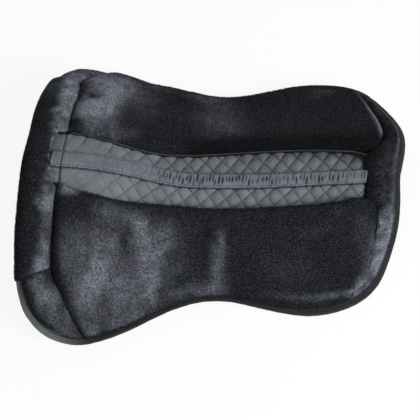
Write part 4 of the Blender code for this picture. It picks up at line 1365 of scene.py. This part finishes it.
def make_binding(side, word):
    """Cotton tape folded round the outer edge, from under the roll's end to the spine at the rear.

    u goes round the fold, and v along the edge.
    """
    start, end = SLEEVE_FOOT - 0.004, REAR_SPINE

    def section(path, u, v):
        share = mixed(start, end, v)
        inset, height = path.at(u)
        run = share * OUTER.length
        pucker = 0.22 * soft_noise(run, 0 * run, 0.007, 33) * (inset < 6)
        x, y = OUTER.inward(share, (inset + pucker) * MM)
        height = height + 0.12 * soft_noise(run, inset, 0.006, 34) * (height > 1)
        return x, y, np.maximum(height, 0) * MM

    def groove_and_shade(x, y, u, v, tip):
        lines = sum(depth * bell(u - place, width) for place, depth, width in BINDING_LINES)
        # Painted shade along the inner edge, where the plush lies over the tape.
        inner_edge_shade = 0.7 * eased((u - 0.86) / 0.06)
        rear = (0.93 if side < 0 else 0.80) * eased((v - 0.10) / 0.10)
        return np.clip(lines + inner_edge_shade + rear, 0, 1)

    piece = shell(
        f"{word}_binding_tape", even(30), even(420),
        lambda u, v: section(BINDING_SKIN, u, v), lambda u, v: section(BINDING_LINING, u, v),
        side, BINDING, {"groove_and_shade": groove_and_shade},
        weave=lambda u, v: (v * OUTER.length * (end - start), u * 0.026),
    )
    bends(piece)
    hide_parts(f"{word}_edge_binding", "binding_bridge")

    x, y = OUTER.inward(even(420, start + 0.02, end), 7.6 * MM)
    row = stitch_row(
        f"{word}_binding_stitches", x, y, 7.45 * MM, side, 3.2 * MM, 2.3 * MM, 0.5 * MM, SLATE_THREAD
    )
    bends(row)


PIPING_CURL = (  # on the far side it curls in behind the quilting, to the spine
    (0.2335, 0.0370), (0.2400, 0.0300), (0.2428, 0.0200), (0.2434, 0.0100), (0.2434, 0.0003),
)


def make_piping(side, word):
    """The corded seam at the foot of the plush, along the channel and round its rear end."""
    channel = PlanPath(CHANNEL_EDGE, 0, len(CHANNEL_EDGE) - 2)
    x, y = channel.inward(even(120, 0.012, 0.925), 0.5 * MM)
    sunk = 0.0 * x
    if side > 0:
        last_two = tuple((float(x[k]), float(y[k])) for k in (-2, -1))
        curl_x, curl_y = PlanPath(last_two + PIPING_CURL, 1).at(even(40)[1:])
        x, y = np.append(x, curl_x), np.append(y, curl_y)
        sunk = np.append(sunk, even(39, 0.0, 0.6) * MM)
    points = on_pad(x, y, PAD_LOW + 1.1 * MM - sunk, side)
    piece = tube(f"{word}_piping", points, 1.15 * MM, PIPING)
    bends(piece)
    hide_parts(f"{word}_channel_piping")


# Putting it together


def finish_kept_nodes():
    """The foam and the elastic inside keep their solids and get their own finish."""
    kept = {"near_foam_core": FOAM, "far_foam_core": FOAM, "spine_elastic": ELASTIC}
    for name, finish in kept.items():
        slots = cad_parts[name].data.materials
        slots.clear()
        slots.append(finish)


def make_stage():
    """A matt, pale floor that shows white to the camera and keeps the pad's shadow."""
    bm = bmesh.new()
    bmesh.ops.create_grid(bm, x_segments=1, y_segments=1, size=6.0)
    mesh = mesh_of("floor", bm)
    made, tree = new_material("matt_white_floor")
    plain = add(tree, "ShaderNodeBsdfDiffuse", {"Color": colour("#e6e6e6")})
    white = add(tree, "ShaderNodeEmission", {"Color": (1, 1, 1, 1), "Strength": 1.0})
    share = add(tree, "ShaderNodeMath", {0: seen_directly(tree), 1: 0.88}, operation="MULTIPLY")
    both = add(tree, "ShaderNodeMixShader", {0: share, 1: plain, 2: white})
    add(tree, "ShaderNodeOutputMaterial", {"Surface": both})
    mesh.materials.append(made)
    floor = add_object("floor", mesh)
    floor.location = (0, 0, -0.6 * MM)


def seen_directly(tree):
    """1 for what the camera sees, straight or in a reflection or through glass."""
    rays = [
        add(tree, "ShaderNodeLightPath", out=f"Is {kind} Ray")
        for kind in ("Camera", "Glossy", "Transmission")
    ]
    either = add(tree, "ShaderNodeMath", {0: rays[0], 1: rays[1]}, operation="MAXIMUM")
    return add(tree, "ShaderNodeMath", {0: either, 1: rays[2]}, operation="MAXIMUM")


def make_light():
    """Even, soft light all round, a key lamp by the near rear and a weak fill lamp opposite."""
    world = bpy.data.worlds.new("studio")
    world.use_nodes = True
    tree = world.node_tree
    tree.nodes.clear()
    soft = add(tree, "ShaderNodeBackground", {"Color": (1, 1, 1, 1), "Strength": 0.50})
    white = add(tree, "ShaderNodeBackground", {"Color": (1, 1, 1, 1), "Strength": 1.0})
    both = add(tree, "ShaderNodeMixShader", {0: seen_directly(tree), 1: soft, 2: white})
    add(tree, "ShaderNodeOutputWorld", {"Surface": both})
    bpy.context.scene.world = world
    for name, place, size, power in (
        ("key", (1.35, -1.1, 1.15), 0.9, 42.0),
        ("fill", (-0.8, 1.0, 1.6), 1.6, 6.0),
    ):
        light = bpy.data.lights.new(name, "AREA")
        light.size = size
        light.energy = power
        lamp = add_object(name, light)
        lamp.location = place
        lamp.rotation_euler = (-Vector(place)).to_track_quat("-Z", "Y").to_euler()


def make_camera():
    """The photograph's view: from the near side, well above, turned a little."""
    elevation, roll = math.radians(62), math.radians(2.1)
    distance, off_x, off_y = 2.4, 0.0028, 0.0313  # the pad stands a little off the frame's middle
    back = Vector((0, -math.cos(elevation), math.sin(elevation)))
    up = Vector((0, math.sin(elevation), math.cos(elevation)))
    right = Vector((1, 0, 0))
    camera_x = right * math.cos(roll) - up * math.sin(roll)
    camera_y = right * math.sin(roll) + up * math.cos(roll)
    aim = Vector((FRAME_SHIFT, 0, 0.038)) - camera_x * off_x - camera_y * off_y
    place = aim + back * distance
    data = bpy.data.cameras.new("view")
    data.sensor_width = 36.0
    data.lens = 133.6
    camera = add_object("view", data)
    rows = [(camera_x[k], camera_y[k], back[k], place[k]) for k in range(3)]
    camera.matrix_world = Matrix(rows + [(0, 0, 0, 1)])
    bpy.context.scene.camera = camera


def main():
    make_camera()
    make_stage()
    make_light()
    finish_kept_nodes()
    make_ruched_tape()
    for word, side in SIDES.items():
        make_quilt(side, word)
        make_plush_panel(side, word)
        make_corner_plush(side, word)
        make_rear_band(side, word)
        make_front_roll(side, word)
        make_binding(side, word)
        make_piping(side, word)


main()
bpy.context.scene.view_settings.view_transform = "Standard"
